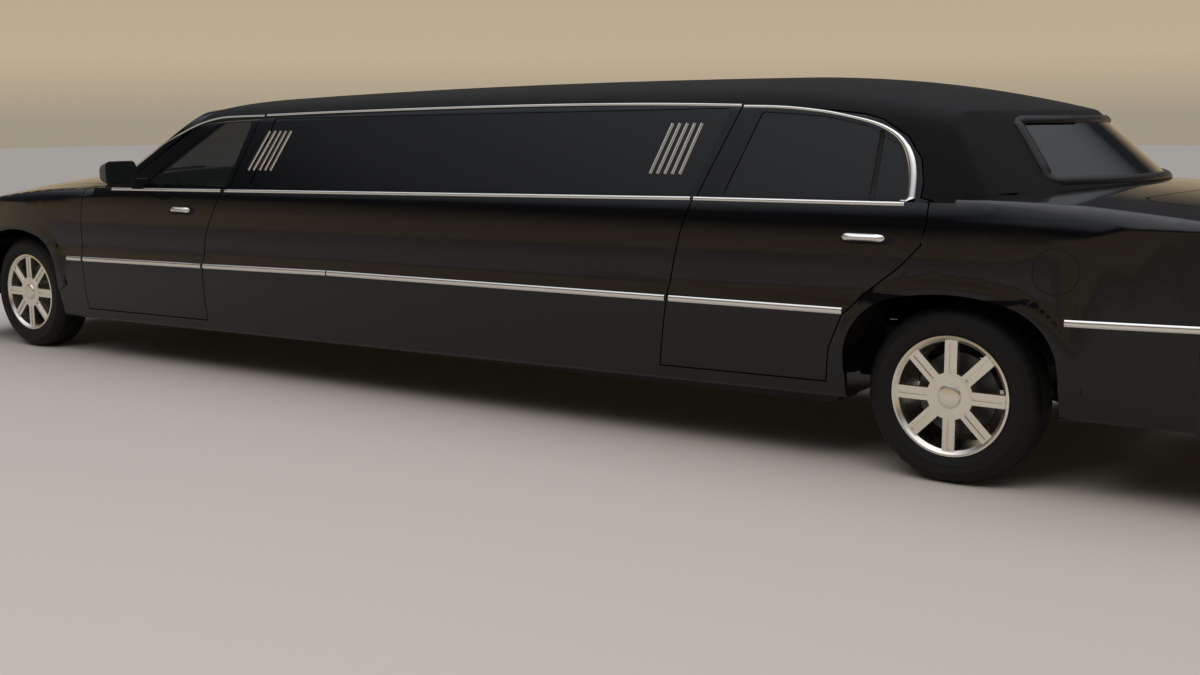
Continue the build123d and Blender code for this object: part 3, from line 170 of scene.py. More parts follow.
# Finishes of the pieces made here: a material and a slot of the record
CHROME = (MATERIALS["bright_trim"], "bright_trim")
TREAD_RUBBER = (MATERIALS["tyre_rubber"], "tyre_rubber")
LEATHER = (MATERIALS["seat_leather"], "seat_leather")
SEAL_RUBBER = (new_material("rubber_seal", (0.003, 0.003, 0.003), 0.0, 0.4, specular=0.3), "dark_plastic")
PLATE_WHITE = (new_material("plate_white", (0.62, 0.62, 0.60), 0.0, 0.35), "lamp_lens")
MIRROR_GLASS = (new_material("mirror_glass", (0.75, 0.78, 0.80), 1.0, 0.02), "bright_trim")
# Flat rough black: painted shade, laid where a panel gap or a handle recess would be dark
GAP_SHADE_BLACK = (new_material("painted_gap_shade", (0.001, 0.001, 0.001), 0.0, 0.9), "dark_plastic")

# CAD nodes: smooth shading across their facets, and the finish of their slot
SMOOTH_ANGLE = math.radians(28)
WELD_DISTANCE = 0.00002
slot_of = {row["node"]: row["material_slot"] for row in frame["record"]["subparts"]}
for node_name, node in NODES.items():
    mesh = node.data
    if "custom_normal" in mesh.attributes:
        mesh.attributes.remove(mesh.attributes["custom_normal"])
    mesh.polygons.foreach_set("use_smooth", [True] * len(mesh.polygons))
    weld = node.modifiers.new("weld", "WELD")
    weld.merge_threshold = WELD_DISTANCE
    split = node.modifiers.new("edges", "EDGE_SPLIT")
    split.split_angle = SMOOTH_ANGLE
    if slot_of[node_name] in ("dark_glass", "clear_glass"):
        weighted = node.modifiers.new("normals", "WEIGHTED_NORMAL")
        weighted.keep_sharp = True
    mesh.materials.clear()
    mesh.materials.append(MATERIALS[slot_of[node_name]])

# Pieces
PIECE_SPLIT_ANGLE = math.radians(40)


def new_piece(name, verts, faces, finish, body="body", smooth=True):
    """A mesh piece with a finish that rides on a body."""
    material, slot = finish
    mesh = bpy.data.meshes.new(name)
    mesh.from_pydata([tuple(v) for v in verts], [], faces)
    mesh.validate()
    work = bmesh.new()
    work.from_mesh(mesh)
    bmesh.ops.recalc_face_normals(work, faces=work.faces)
    work.to_mesh(mesh)
    work.free()
    mesh.polygons.foreach_set("use_smooth", [smooth] * len(mesh.polygons))
    mesh.materials.append(material)
    piece = bpy.data.objects.new(name, mesh)
    bpy.context.scene.collection.objects.link(piece)
    if smooth:
        split = piece.modifiers.new("edges", "EDGE_SPLIT")
        split.split_angle = PIECE_SPLIT_ANGLE
    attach(piece, body)
    return piece


def twin_pieces(name, verts, faces, finish, body, smooth=True):
    """A piece on the left side and its mirror image on the right; a door's body has a twin too."""
    left, right = (body, body) if body == "body" else (body + "_left", body + "_right")
    new_piece(name + "_left", verts, faces, finish, left, smooth)
    mirrored = [Vector((v[0], -v[1], v[2])) for v in verts]
    new_piece(name + "_right", mirrored, faces, finish, right, smooth)


# Rays that find the surface of the CAD nodes. They start this far out: from the side, and from each end
SIDE_RAY_Y = 1.4
END_RAY_X = 4.4
# A ray that lands this much deeper or nearer than its route's usual depth has gone through a gap
STRAY_DEPTH = 0.3
SCREEN_STRAY_DEPTH = 1.0
BUMPER_STRAY_DEPTH = 1.5
# Normals along a route are evened out over this many points each way
SMOOTH_REACH = 5


def surface(*names):
    """A tree for casting rays on CAD nodes."""
    verts = []
    faces = []
    for name in names:
        node = NODES[name]
        start = len(verts)
        verts += [node.matrix_world @ v.co for v in node.data.vertices]
        faces += [[start + i for i in face.vertices] for face in node.data.polygons]
    return BVHTree.FromPolygons(verts, faces)


def side_ray(distance, z):
    """A ray that comes in from the left at a distance ahead of the rear axle and a height."""
    return (ahead(distance), SIDE_RAY_Y, z), (0, -1, 0)


def cast_route(tree, rays, stray=STRAY_DEPTH, closed=False):
    """Points and normals where rays land; a ray that falls through a gap follows its neighbours."""
    hits = [tree.ray_cast(Vector(origin), Vector(aim)) for origin, aim in rays]
    landed = sorted(hit[3] for hit in hits if hit[3] is not None)
    usual = landed[len(landed) // 2]
    good = [i for i, hit in enumerate(hits) if hit[3] is not None and abs(hit[3] - usual) < stray]
    points = []
    normals = []
    for i, (origin, aim) in enumerate(rays):
        before = max([k for k in good if k <= i], default=good[0])
        after = min([k for k in good if k >= i], default=good[-1])
        share = (i - before) / (after - before) if after > before else 0
        depth = hits[before][3] * (1 - share) + hits[after][3] * share
        normal = Vector((0, 0, 0))
        for k in (before, after):
            normal += hits[k][1] if hits[k][1].dot(Vector(aim)) < 0 else -hits[k][1]
        points.append(Vector(origin) + Vector(aim) * depth)
        normals.append(normal.normalized())
    reach = min(SMOOTH_REACH, len(rays) // 4)
    smooth = []
    for i in range(len(rays)):
        span = range(i - reach, i + reach + 1)
        around = [k % len(rays) for k in span] if closed else [k for k in span if 0 <= k < len(rays)]
        smooth.append(sum([normals[k] for k in around], Vector()).normalized())
    return points, smooth


# Mouldings: how far they sink below the surface, and how far apart their rays are
TRIM_SINK = 0.003
TRIM_STEP = 0.03
# Profile across a moulding: share of its width and of its height
ROUND_PROFILE = (
    (-0.5, 0), (-0.5, 0.4), (-0.36, 0.8), (-0.12, 1), (0.12, 1), (0.36, 0.8), (0.5, 0.4), (0.5, 0),
)
# Share of each leg that is cut off at a route's corner, and how many times over
CORNER_CUT = 0.25
CORNER_ROUNDS = 2


def strip_mesh(points, normals, size, sink=TRIM_SINK, closed=False, widths=None):
    """A moulding along points, standing on normals; its size is width and height."""
    verts = []
    faces = []
    width, height = size
    count = len(points)
    ring = len(ROUND_PROFILE)
    for i, (point, normal) in enumerate(zip(points, normals)):
        before = points[(i - 1) % count] if closed else points[max(0, i - 1)]
        after = points[(i + 1) % count] if closed else points[min(count - 1, i + 1)]
        across = normal.cross(after - before).normalized()
        wide = widths[i] if widths else width
        for share, rise in ROUND_PROFILE:
            verts.append(point + across * (share * wide) + normal * (rise * (height + sink) - sink))
    last = count if closed else count - 1
    for i in range(last):
        start = i * ring
        after = ((i + 1) % count) * ring
        for j in range(ring):
            k = (j + 1) % ring
            faces.append((start + j, start + k, after + k, after + j))
    if not closed:
        faces.append(tuple(range(ring)))
        faces.append(tuple(range((count - 1) * ring, count * ring)))
    return verts, faces


def spaced(route, step):
    """Points along a broken line of (a, b) pairs, about step apart."""
    points = [route[0]]
    for (a0, b0), (a1, b1) in zip(route, route[1:]):
        count = max(1, round(math.hypot(a1 - a0, b1 - b0) / step))
        for i in range(1, count + 1):
            share = i / count
            points.append((a0 + (a1 - a0) * share, b0 + (b1 - b0) * share))
    return points


def rounded_route(route):
    """The same route with its corners cut smooth."""
    near = 1 - CORNER_CUT
    far = CORNER_CUT
    for _ in range(CORNER_ROUNDS):
        smooth = [route[0]]
        for (a0, b0), (a1, b1) in zip(route, route[1:]):
            smooth.append((a0 * near + a1 * far, b0 * near + b1 * far))
            smooth.append((a0 * far + a1 * near, b0 * far + b1 * near))
        smooth.append(route[-1])
        route = smooth
    return route


def side_trim(name, tree, route, size, finish, body, step=TRIM_STEP, widths=None, rise=0.0, straight=False):
    """A moulding on both sides of the car; the route is distance ahead of the rear axle and height.

    The function widths gives its width at a height. The rays are cast lower by rise and their points moved
    back up along the side. A straight moulding stands clear of a bulging side.
    """
    places = spaced(route, step)
    rays = [side_ray(distance, z - rise) for distance, z in places]
    points, normals = cast_route(tree, rays)
    for i, normal in enumerate(normals):
        slope = Vector((0, 0, 1)) - normal * normal.z
        points[i] = points[i] + slope.normalized() * rise
    sink = TRIM_SINK
    if straight:
        outward = sum(normals, Vector()).normalized()
        count = len(points)
        chord = [points[0].lerp(points[-1], i / (count - 1)) for i in range(count)]
        bulge = max((point - place).dot(outward) for point, place in zip(points, chord))
        points = [place + outward * bulge for place in chord]
        normals = [outward] * count
        sink += bulge
    spread = [widths(z) for distance, z in places] if widths else None
    verts, faces = strip_mesh(points, normals, size, sink, widths=spread)
    twin_pieces(name, verts, faces, finish, body)


# Surfaces of the left side: the whole side, with its glass and roof, and the rear door alone
FLANK = surface("stretch_sides", "front_door_left", "rear_door_left", "rear_quarters", "front_fenders")
UPPER_FLANK = surface(
    "stretch_sides", "front_door_left", "rear_door_left", "roof_shell", "side_glass", "front_door_glass_left",
    "rear_door_glass_left", "windscreen_frame", "rear_quarters",
)
DOOR_FLANK = surface("rear_door_left", "rear_door_glass_left")


def on_line(rows, distance):
    """Height on a broken line of (distance, height) rows, for a distance."""
    rows = sorted(rows)
    for (d0, z0), (d1, z1) in zip(rows, rows[1:]):
        if distance <= d1 or (d1, z1) == rows[-1]:
            return z0 + (z1 - z0) * (distance - d0) / (d1 - d0)


def mouldings_on_line(name, tree, line, spans, size, step=TRIM_STEP):
    """Bright mouldings that follow one line, one for each span of start, end and body."""
    for index, (start, end, body) in enumerate(spans):
        route = [(start, on_line(line, start)), (end, on_line(line, end))]
        side_trim(f"{name}_{index}", tree, route, size, CHROME, body, step=step)


# Lower mouldings
LOWER_SIZE = (0.026, 0.007)
LOWER_LINE = (
    # distance ahead of the rear axle, height
    (-1.30, 0.682), (-0.889, 0.677), (0.424, 0.650), (1.245, 0.645), (3.298, 0.631), (4.261, 0.613),
    (5.479, 0.593),
)
LOWER_SPANS = (
    # start and end ahead of the rear axle, body
    (5.500, 5.356, "body"), (5.336, 4.275, "front_door"), (4.254, 3.302, "body"), (3.294, 1.256, "body"),
    (1.234, 0.428, "rear_door"), (-0.440, -1.240, "body"),
)
mouldings_on_line("lower_moulding", FLANK, LOWER_LINE, LOWER_SPANS, LOWER_SIZE)

# Belt mouldings along the foot of the glass
BELT_SIZE = (0.018, 0.007)
BELT_STEP = 0.025
BELT_LINE = (
    # distance ahead of the rear axle, height
    (0.194, 1.0735), (0.30, 1.073), (1.41, 1.066), (3.67, 1.0345), (4.117, 1.0250), (4.316, 1.0230),
    (4.748, 1.0160), (5.094, 1.0110),
)
BELT_SPANS = (
    # start and end ahead of the rear axle, body
    (5.090, 4.142, "front_door"), (4.128, 1.162, "body"), (1.146, 0.200, "rear_door"),
)
mouldings_on_line("belt_moulding", UPPER_FLANK, BELT_LINE, BELT_SPANS, BELT_SIZE, BELT_STEP)

# Drip moulding over the long side window
DRIP_SIZE = (0.013, 0.007)
DRIP_STEP = 0.02
DRIP_ROUTE = (
    # distance ahead of the rear axle, height
    (3.988, 1.426), (3.508, 1.439), (3.009, 1.449), (2.483, 1.458), (2.001, 1.463), (1.556, 1.463),
    (1.245, 1.4585), (1.030, 1.4530),
)
side_trim(
    "drip_moulding_0", UPPER_FLANK, rounded_route(DRIP_ROUTE), DRIP_SIZE, CHROME, "body", step=DRIP_STEP,
)

# It goes on as a bright arch over the rear door's window and down to the belt
ARCH_ROUTE = (
    # distance ahead of the rear axle, height
    (1.018, 1.4500), (0.900, 1.4480), (0.800, 1.4430), (0.700, 1.4330), (0.620, 1.4230), (0.530, 1.4060),
    (0.440, 1.3870), (0.373, 1.3650), (0.317, 1.3360), (0.277, 1.3020), (0.243, 1.2520), (0.223, 1.1960),
    (0.214, 1.1410), (0.210, 1.0830),
)
ARCH_WIDENING = 0.017
ARCH_WIDENS_FROM_Z = 1.40
ARCH_WIDENS_OVER = 0.16
# The arch stands at the door's upper edge, so its rays land this much lower, on the door
ARCH_RISE = 0.009


def arch_width(z):
    """The arch is thin over the window and wide down its rear."""
    share = min(1, max(0, (ARCH_WIDENS_FROM_Z - z) / ARCH_WIDENS_OVER))
    return DRIP_SIZE[0] + ARCH_WIDENING * share


side_trim(
    "drip_moulding_1", DOOR_FLANK, rounded_route(ARCH_ROUTE), DRIP_SIZE, CHROME, "rear_door", step=DRIP_STEP,
    widths=arch_width, rise=ARCH_RISE,
)

# Ahead of the long window it goes on over the front door and down the front pillar
PILLAR_SIZE = (0.012, 0.006)
PILLAR_ROUTE = (
    # distance ahead of the rear axle, height
    (4.006, 1.4240), (4.218, 1.4210), (4.379, 1.4150), (4.508, 1.3900), (4.619, 1.3540), (4.796, 1.2820),
    (4.900, 1.2240), (5.000, 1.1660), (5.080, 1.1180),
)
PILLAR = surface("roof_shell", "windscreen_frame")
side_trim(
    "drip_moulding_front", PILLAR, rounded_route(PILLAR_ROUTE), PILLAR_SIZE, CHROME, "body", step=DRIP_STEP,
)

# Five slanted bars at each end of the long side window
BAR_COUNT = 5
BAR_SIZE = (0.018, 0.008)
BAR_GROUPS = (
    # name, foot from and to, foot height, head from and to, head height
    ("front", 4.016, 3.847, 1.1355, 3.927, 3.765, 1.343),
    ("rear", 1.420, 1.268, 1.1625, 1.359, 1.210, 1.378),
)
for group, foot_from, foot_to, foot_z, head_from, head_to, head_z in BAR_GROUPS:
    for i in range(BAR_COUNT):
        share = i / (BAR_COUNT - 1)
        foot = (foot_from + (foot_to - foot_from) * share, foot_z)
        head = (head_from + (head_to - head_from) * share, head_z)
        name = f"window_bar_{group}_{i}"
        side_trim(name, UPPER_FLANK, [foot, head], BAR_SIZE, CHROME, "body", straight=True)

# Upright divider in the rear door's window
DIVIDER_SIZE = (0.024, 0.004)
DIVIDER_ROUTE = ((0.372, 1.084), (0.377, 1.350))
side_trim("window_divider", UPPER_FLANK, DIVIDER_ROUTE, DIVIDER_SIZE, SEAL_RUBBER, "rear_door")


def ring_trim(name, tree, rays, size, finish):
    """A closed moulding on the body where a loop of rays lands."""
    points, normals = cast_route(tree, rays, stray=SCREEN_STRAY_DEPTH, closed=True)
    verts, faces = strip_mesh(points, normals, size, closed=True)
    new_piece(name, verts, faces, finish)


# Fuel filler flap on the left side: a thin round ring of painted shade where its gap is
FUEL_DISTANCE = -0.400
FUEL_Z = 0.850
FUEL_RADIUS = 0.084
FUEL_GAP_SIZE = (0.0060, 0.0006)
FUEL_RAY_COUNT = 64
fuel_rays = []
for i in range(FUEL_RAY_COUNT):
    angle = 2 * math.pi * i / FUEL_RAY_COUNT
    distance = FUEL_DISTANCE + FUEL_RADIUS * math.cos(angle)
    fuel_rays.append(side_ray(distance, FUEL_Z + FUEL_RADIUS * math.sin(angle)))
ring_trim("fuel_flap_gap_shade", FLANK, fuel_rays, FUEL_GAP_SIZE, GAP_SHADE_BLACK)

# Thin rounded plates that follow the side: how many faces, and how their outline and swell fall off
PATCH_ROWS = 10
PATCH_COLUMNS = 24
OUTLINE_POWER = 6
SWELL_POWER = 4
EDGE_DROP = 0.7


def patch(name, centre, half_length, half_height, swell, finish, body):
    """A thin rounded plate on both sides of the car; it swells towards its middle."""
    points = []
    faces = []
    for j in range(PATCH_ROWS + 1):
        for i in range(PATCH_COLUMNS + 1):
            u = -1 + 2 * i / PATCH_COLUMNS
            limit = math.sqrt(max(0, 1 - abs(u) ** OUTLINE_POWER))
            v = (-1 + 2 * j / PATCH_ROWS) * limit
            origin, aim = side_ray(centre[0] + u * half_length, centre[1] + v * half_height)
            hit = FLANK.ray_cast(Vector(origin), Vector(aim))
            lift = swell * (1 - u ** SWELL_POWER) * (1 - v ** 2 * EDGE_DROP)
            points.append(hit[0] + Vector((0, 1, 0)) * lift)
    for j in range(PATCH_ROWS):
        for i in range(PATCH_COLUMNS):
            a = j * (PATCH_COLUMNS + 1) + i
            faces.append((a, a + 1, a + PATCH_COLUMNS + 2, a + PATCH_COLUMNS + 1))
    twin_pieces(name, points, faces, finish, body)


# Door handles: a bright pull over a black plate of painted shade where the recess is
HANDLE_ROWS = (
    # door, distance ahead of the rear axle, height, half length of the pull
    ("front_door", 4.452, 0.912, 0.085),
    ("rear_door", 0.352, 0.940, 0.092),
)
DISH_SETBACK = 0.016
DISH_MARGIN = 0.028
DISH_HALF_HEIGHT = 0.024
DISH_SWELL = 0.0012
PULL_LIFT = 0.002
PULL_HALF_HEIGHT = 0.0145
PULL_SWELL = 0.019
for door, distance, z, half_length in HANDLE_ROWS:
    dish_place = (distance - DISH_SETBACK, z)
    dish_length = half_length + DISH_MARGIN
    patch(f"{door}_handle_dish_shade", dish_place, dish_length, DISH_HALF_HEIGHT, DISH_SWELL, GAP_SHADE_BLACK, door)
    pull_place = (distance, z + PULL_LIFT)
    patch(f"{door}_handle_pull", pull_place, half_length, PULL_HALF_HEIGHT, PULL_SWELL, CHROME, door)

# Mirrors: the glass in each housing
MIRROR_BACK_X = ahead(4.845)
MIRROR_PROUD = 0.0015
MIRROR_SUNK = 0.001
MIRROR_CENTRE = (1.055, 1.110)
MIRROR_HALF = (0.090, 0.056)
MIRROR_POWER = 0.5
MIRROR_POINTS = 40
mirror_outline = []
for i in range(MIRROR_POINTS):
    angle = 2 * math.pi * i / MIRROR_POINTS
    across = math.cos(angle)
    upward = math.sin(angle)
    y = MIRROR_CENTRE[0] + MIRROR_HALF[0] * math.copysign(abs(across) ** MIRROR_POWER, across)
    z = MIRROR_CENTRE[1] + MIRROR_HALF[1] * math.copysign(abs(upward) ** MIRROR_POWER, upward)
    mirror_outline.append((y, z))
mirror_verts = [Vector((MIRROR_BACK_X - MIRROR_PROUD, y, z)) for y, z in mirror_outline]
mirror_verts += [Vector((MIRROR_BACK_X + MIRROR_SUNK, y, z)) for y, z in mirror_outline]
mirror_faces = [tuple(range(MIRROR_POINTS)), tuple(range(MIRROR_POINTS, 2 * MIRROR_POINTS))]
for i in range(MIRROR_POINTS):
    after = (i + 1) % MIRROR_POINTS
    mirror_faces.append((i, after, MIRROR_POINTS + after, MIRROR_POINTS + i))
twin_pieces("mirror_glass", mirror_verts, mirror_faces, MIRROR_GLASS, "front_door", smooth=False)

# Rear window and windscreen: black frames round the panes
LOOP_STEP = 0.03
CORNER_STEPS = 6


def frame_loop(foot, head, corner_radius):
    """A rounded loop of (y, z) round a pane, from the half width and height of its foot and its head."""
    corners = [foot, head, (-head[0], head[1]), (-foot[0], foot[1])]
    loop = []
    count = len(corners)
    for i in range(count):
        before = Vector(corners[i - 1])
        here = Vector(corners[i])
        after = Vector(corners[(i + 1) % count])
        start = here + (before - here).normalized() * corner_radius
        end = here + (after - here).normalized() * corner_radius
        for k in range(CORNER_STEPS + 1):
            t = k / CORNER_STEPS
            loop.append(start * (1 - t) ** 2 + here * 2 * t * (1 - t) + end * t ** 2)
        next_start = after + (here - after).normalized() * corner_radius
        steps = max(1, round((next_start - end).length / LOOP_STEP))
        for k in range(1, steps):
            loop.append(end + (next_start - end) * (k / steps))
    return [(p.x, p.y) for p in loop]


REAR_SEAL_SIZE = (0.040, 0.010)
REAR_FRAME = surface("roof_shell", "rear_window")
rear_loop = frame_loop(foot=(0.625, 1.160), head=(0.520, 1.389), corner_radius=0.035)
rear_rays = [((-END_RAY_X, y, z), (1, 0, 0)) for y, z in rear_loop]
ring_trim("rear_window_seal", REAR_FRAME, rear_rays, REAR_SEAL_SIZE, SEAL_RUBBER)

SCREEN_SEAL_SIZE = (0.022, 0.004)
SCREEN_FRAME = surface("windscreen_frame", "windscreen", "cowl", "roof_shell")
screen_loop = frame_loop(foot=(0.765, 1.042), head=(0.588, 1.450), corner_radius=0.04)
screen_rays = [((END_RAY_X, y, z), (-1, 0, 0)) for y, z in screen_loop]
ring_trim("windscreen_seal", SCREEN_FRAME, screen_rays, SCREEN_SEAL_SIZE, SEAL_RUBBER)

# Wheels: tyres with sidewall rings and a grooved tread in place of the many-sided solids
TYRE_SEGMENTS = 108
TYRE_WALL = (
    # radius and distance from the tyre's middle plane, from the bead to the shoulder
    (0.2222, 0.0965), (0.2375, 0.0970), (0.2405, 0.1010), (0.2500, 0.1055), (0.2640, 0.1098),
    (0.2660, 0.1112), (0.2680, 0.1105), (0.2820, 0.1122), (0.2960, 0.1120), (0.2975, 0.1130),
    (0.2990, 0.1115), (0.3100, 0.1070), (0.3220, 0.0990), (0.3300, 0.0925), (0.3370, 0.0830),
    (0.3425, 0.0720),
)
GROOVE_PLACES = (0.052, 0.018)
GROOVE_TOP_HALF = 0.0055
GROOVE_FLOOR_HALF = 0.0040
GROOVE_FLOOR_RADIUS = 0.3375
GROOVE_OUTER_RADIUS = 0.3448
# Shoulder blocks: every third segment is sunk this deep, from this far out and this large a radius
BLOCK_EVERY = 3
BLOCK_DEPTH = 0.004
BLOCK_Y = 0.0575
BLOCK_RADIUS = 0.325


def tyre_profile():
    """Section of the tyre from bead to bead: radius and distance from its middle plane."""
    half = list(TYRE_WALL)
    for centre in GROOVE_PLACES:
        half += [
            (GROOVE_OUTER_RADIUS, centre + GROOVE_TOP_HALF),
            (GROOVE_FLOOR_RADIUS, centre + GROOVE_FLOOR_HALF),
            (GROOVE_FLOOR_RADIUS, centre - GROOVE_FLOOR_HALF),
            (TYRE_RADIUS, centre - GROOVE_TOP_HALF),
        ]
    return half + [(radius, -y) for radius, y in reversed(half)]


section = tyre_profile()
ring = len(section)
for node_name in [name for name in NODES if name.startswith("tyre_")]:
    low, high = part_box(node_name)
    centre = Vector([(a + b) / 2 for a, b in zip(low, high)])
    verts = []
    faces = []
    for i in range(TYRE_SEGMENTS):
        angle = 2 * math.pi * i / TYRE_SEGMENTS
        for radius, y in section:
            if abs(y) > BLOCK_Y and radius > BLOCK_RADIUS and i % BLOCK_EVERY == 0:
                radius -= BLOCK_DEPTH
            verts.append(centre + Vector((radius * math.cos(angle), y, radius * math.sin(angle))))
    for i in range(TYRE_SEGMENTS):
        after = ((i + 1) % TYRE_SEGMENTS) * ring
        for j in range(ring):
            k = (j + 1) % ring
            faces.append((i * ring + j, i * ring + k, after + k, after + j))
    wheel = node_name.replace("tyre_", "wheel_")
    tyre = new_piece(node_name + "_tread", verts, faces, TREAD_RUBBER, wheel)
    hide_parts(node_name)

# Brake discs behind the spokes
DISC_ROWS = (
    # end, axle, distance of the wheel's middle from the middle of the car
    ("front", FRONT_AXLE_X, 0.805),
    ("rear", REAR_AXLE_X, 0.833),
)
DISC_POINTS = 64
DISC_BORE_RADIUS = 0.081
DISC_RADIUS = 0.160
DISC_INWARD = 0.010
DISC_OUTWARD = 0.012
DISC_METAL = (new_material("disc_metal", (0.10, 0.10, 0.10), 0.9, 0.45), "engine_metal")


def disc_mesh(axle_x, inner_y, outer_y):
    """A flat ring round an axle between two planes."""
    verts = []
    faces = []
    corners = (
        (DISC_BORE_RADIUS, inner_y), (DISC_RADIUS, inner_y),
        (DISC_RADIUS, outer_y), (DISC_BORE_RADIUS, outer_y),
    )
    for radius, y in corners:
        for i in range(DISC_POINTS):
            angle = 2 * math.pi * i / DISC_POINTS
            verts.append((axle_x + radius * math.cos(angle), y, TYRE_RADIUS + radius * math.sin(angle)))
    for j in range(len(corners)):
        row = j * DISC_POINTS
        next_row = (j + 1) % len(corners) * DISC_POINTS
        for i in range(DISC_POINTS):
            n = (i + 1) % DISC_POINTS
            faces.append((row + i, row + n, next_row + n, next_row + i))
    return verts, faces


for end, axle_x, wheel_y in DISC_ROWS:
    for side, sign in (("left", 1), ("right", -1)):
        verts, faces = disc_mesh(axle_x, sign * (wheel_y - DISC_INWARD), sign * (wheel_y + DISC_OUTWARD))
        new_piece(f"brake_disc_{end}_{side}", verts, faces, DISC_METAL, f"wheel_{end}_{side}")

# Bumper strips that wrap round each end: rays run in from a wide circle at one height
STRIP_SIZE = (0.022, 0.007)
STRIP_SINK = 0.004
STRIP_RAY_RADIUS = 3
STRIP_STEPS = 120
STRIP_ROWS = (
    # bumper, centre of the circle, height, angle from and to in degrees
    ("front_bumper", 3.62, 0.500, -78, 78),
    ("rear_bumper", -3.55, 0.545, 102, 258),
)
for bumper, centre_x, z, from_angle, to_angle in STRIP_ROWS:
    rays = []
    for i in range(STRIP_STEPS + 1):
        angle = math.radians(from_angle + (to_angle - from_angle) * i / STRIP_STEPS)
        origin = (centre_x + STRIP_RAY_RADIUS * math.cos(angle), STRIP_RAY_RADIUS * math.sin(angle), z)
        rays.append((origin, (-math.cos(angle), -math.sin(angle), 0)))
    points, normals = cast_route(surface(bumper), rays, stray=BUMPER_STRAY_DEPTH)
    verts, faces = strip_mesh(points, normals, STRIP_SIZE, STRIP_SINK)
    new_piece(bumper + "_strip", verts, faces, CHROME)

# Blank number plates with a screw near each corner
BEVEL_SEGMENTS = 3


def block(name, centre, sizes, bevel, finish, body):
    """A block with bevelled edges about a centre."""
    work = bmesh.new()
    bmesh.ops.create_cube(work, size=1)
    bmesh.ops.scale(work, vec=Vector(sizes), verts=work.verts)
    edges = list(work.edges)
    bmesh.ops.bevel(work, geom=edges, offset=bevel, segments=BEVEL_SEGMENTS, profile=0.5, affect="EDGES")
    bmesh.ops.translate(work, vec=Vector(centre), verts=work.verts)
    verts = [v.co.copy() for v in work.verts]
    work.verts.index_update()
    faces = [tuple(v.index for v in face.verts) for face in work.faces]
    work.free()
    new_piece(name, verts, faces, finish, body)


PLATE_SIZES = (0.003, 0.305, 0.153)
PLATE_BEVEL = 0.0012
SCREW_SIZES = (0.004, 0.011, 0.011)
SCREW_BEVEL = 0.0015
SCREW_Y = 0.0889
SCREW_Z = 0.0603
PLATE_ROWS = (
    # end, X of the plate's middle, X of its screws' middle, height, body
    ("front", 4.2370, 4.2400, 0.400, "body"),
    ("rear", -4.1720, -4.1755, 0.815, "boot_lid"),
)
for end, plate_x, screw_x, z, body in PLATE_ROWS:
    block(f"{end}_plate", (plate_x, 0, z), PLATE_SIZES, PLATE_BEVEL, PLATE_WHITE, body)
for end, plate_x, screw_x, z, body in PLATE_ROWS:
    for y in (-SCREW_Y, SCREW_Y):
        for rise in (-SCREW_Z, SCREW_Z):
            name = f"{end}_plate_screw_{y:+.2f}_{rise:+.2f}".replace("+", "p").replace("-", "m")
            block(name, (screw_x, y, z + rise), SCREW_SIZES, SCREW_BEVEL, CHROME, body)

# Wipers that lie at the foot of the windscreen
WIPER_ROWS = (
    # Y of the blade's start and end
    (0.62, 0.02),
    (-0.03, -0.60),
)
WIPER_SIZE = (0.012, 0.014)
WIPER_SINK = 0.002
WIPER_STEPS = 16
WIPER_Z = 1.085
WIPER_LIFT = 0.018
PANE = surface("windscreen", "windscreen_frame", "cowl")
for index, (start_y, end_y) in enumerate(WIPER_ROWS):
    rays = []
    for i in range(WIPER_STEPS + 1):
        share = i / WIPER_STEPS
        y = start_y + (end_y - start_y) * share
        rays.append(((END_RAY_X, y, WIPER_Z + WIPER_LIFT * share), (-1, 0, 0)))
    points, normals = cast_route(PANE, rays, stray=SCREEN_STRAY_DEPTH)
    verts, faces = strip_mesh(points, normals, WIPER_SIZE, WIPER_SINK)
    new_piece(f"wiper_blade_{index}", verts, faces, SEAL_RUBBER)

# Cushions in place of the plain seat blocks
X_AXIS = 0
Y_AXIS = 1
CUSHION_CUTS = 15
ROUNDING_POWER = 5
CHANNEL_DEPTH = 0.045
CHANNEL_POWER = 6


def cushion(name, low, high, channels, along, crown):
    """A crowned closed cushion with sewn channels across one axis.

    Its two corners are distance ahead of the rear axle, Y and Z.
    """
    low = Vector((ahead(low[0]), low[1], low[2]))
    high = Vector((ahead(high[0]), high[1], high[2]))
    size = high - low
    middle = (low + high) / 2
    work = bmesh.new()
    bmesh.ops.create_cube(work, size=2)
    bmesh.ops.subdivide_edges(work, edges=list(work.edges), cuts=CUSHION_CUTS, use_grid_fill=True)
    verts = []
    for v in work.verts:
        power = ROUNDING_POWER
        length = (abs(v.co.x) ** power + abs(v.co.y) ** power + abs(v.co.z) ** power) ** (1 / power)
        place = list(v.co / length)
        seam = max(0, math.cos(channels * math.pi * (place[along] + 1))) ** CHANNEL_POWER
        groove = 1 - CHANNEL_DEPTH * seam if channels else 1
        narrowing = 1 - crown * (1 - math.cos(math.pi * place[along] / 2)) / 2
        for k in range(3):
            if k != along:
                place[k] *= groove * narrowing
        verts.append(Vector([middle[k] + place[k] * size[k] / 2 for k in range(3)]))
    work.verts.index_update()
    faces = [tuple(v.index for v in face.verts) for face in work.faces]
    work.free()
    piece = new_piece(name, verts, faces, LEATHER)
    return piece


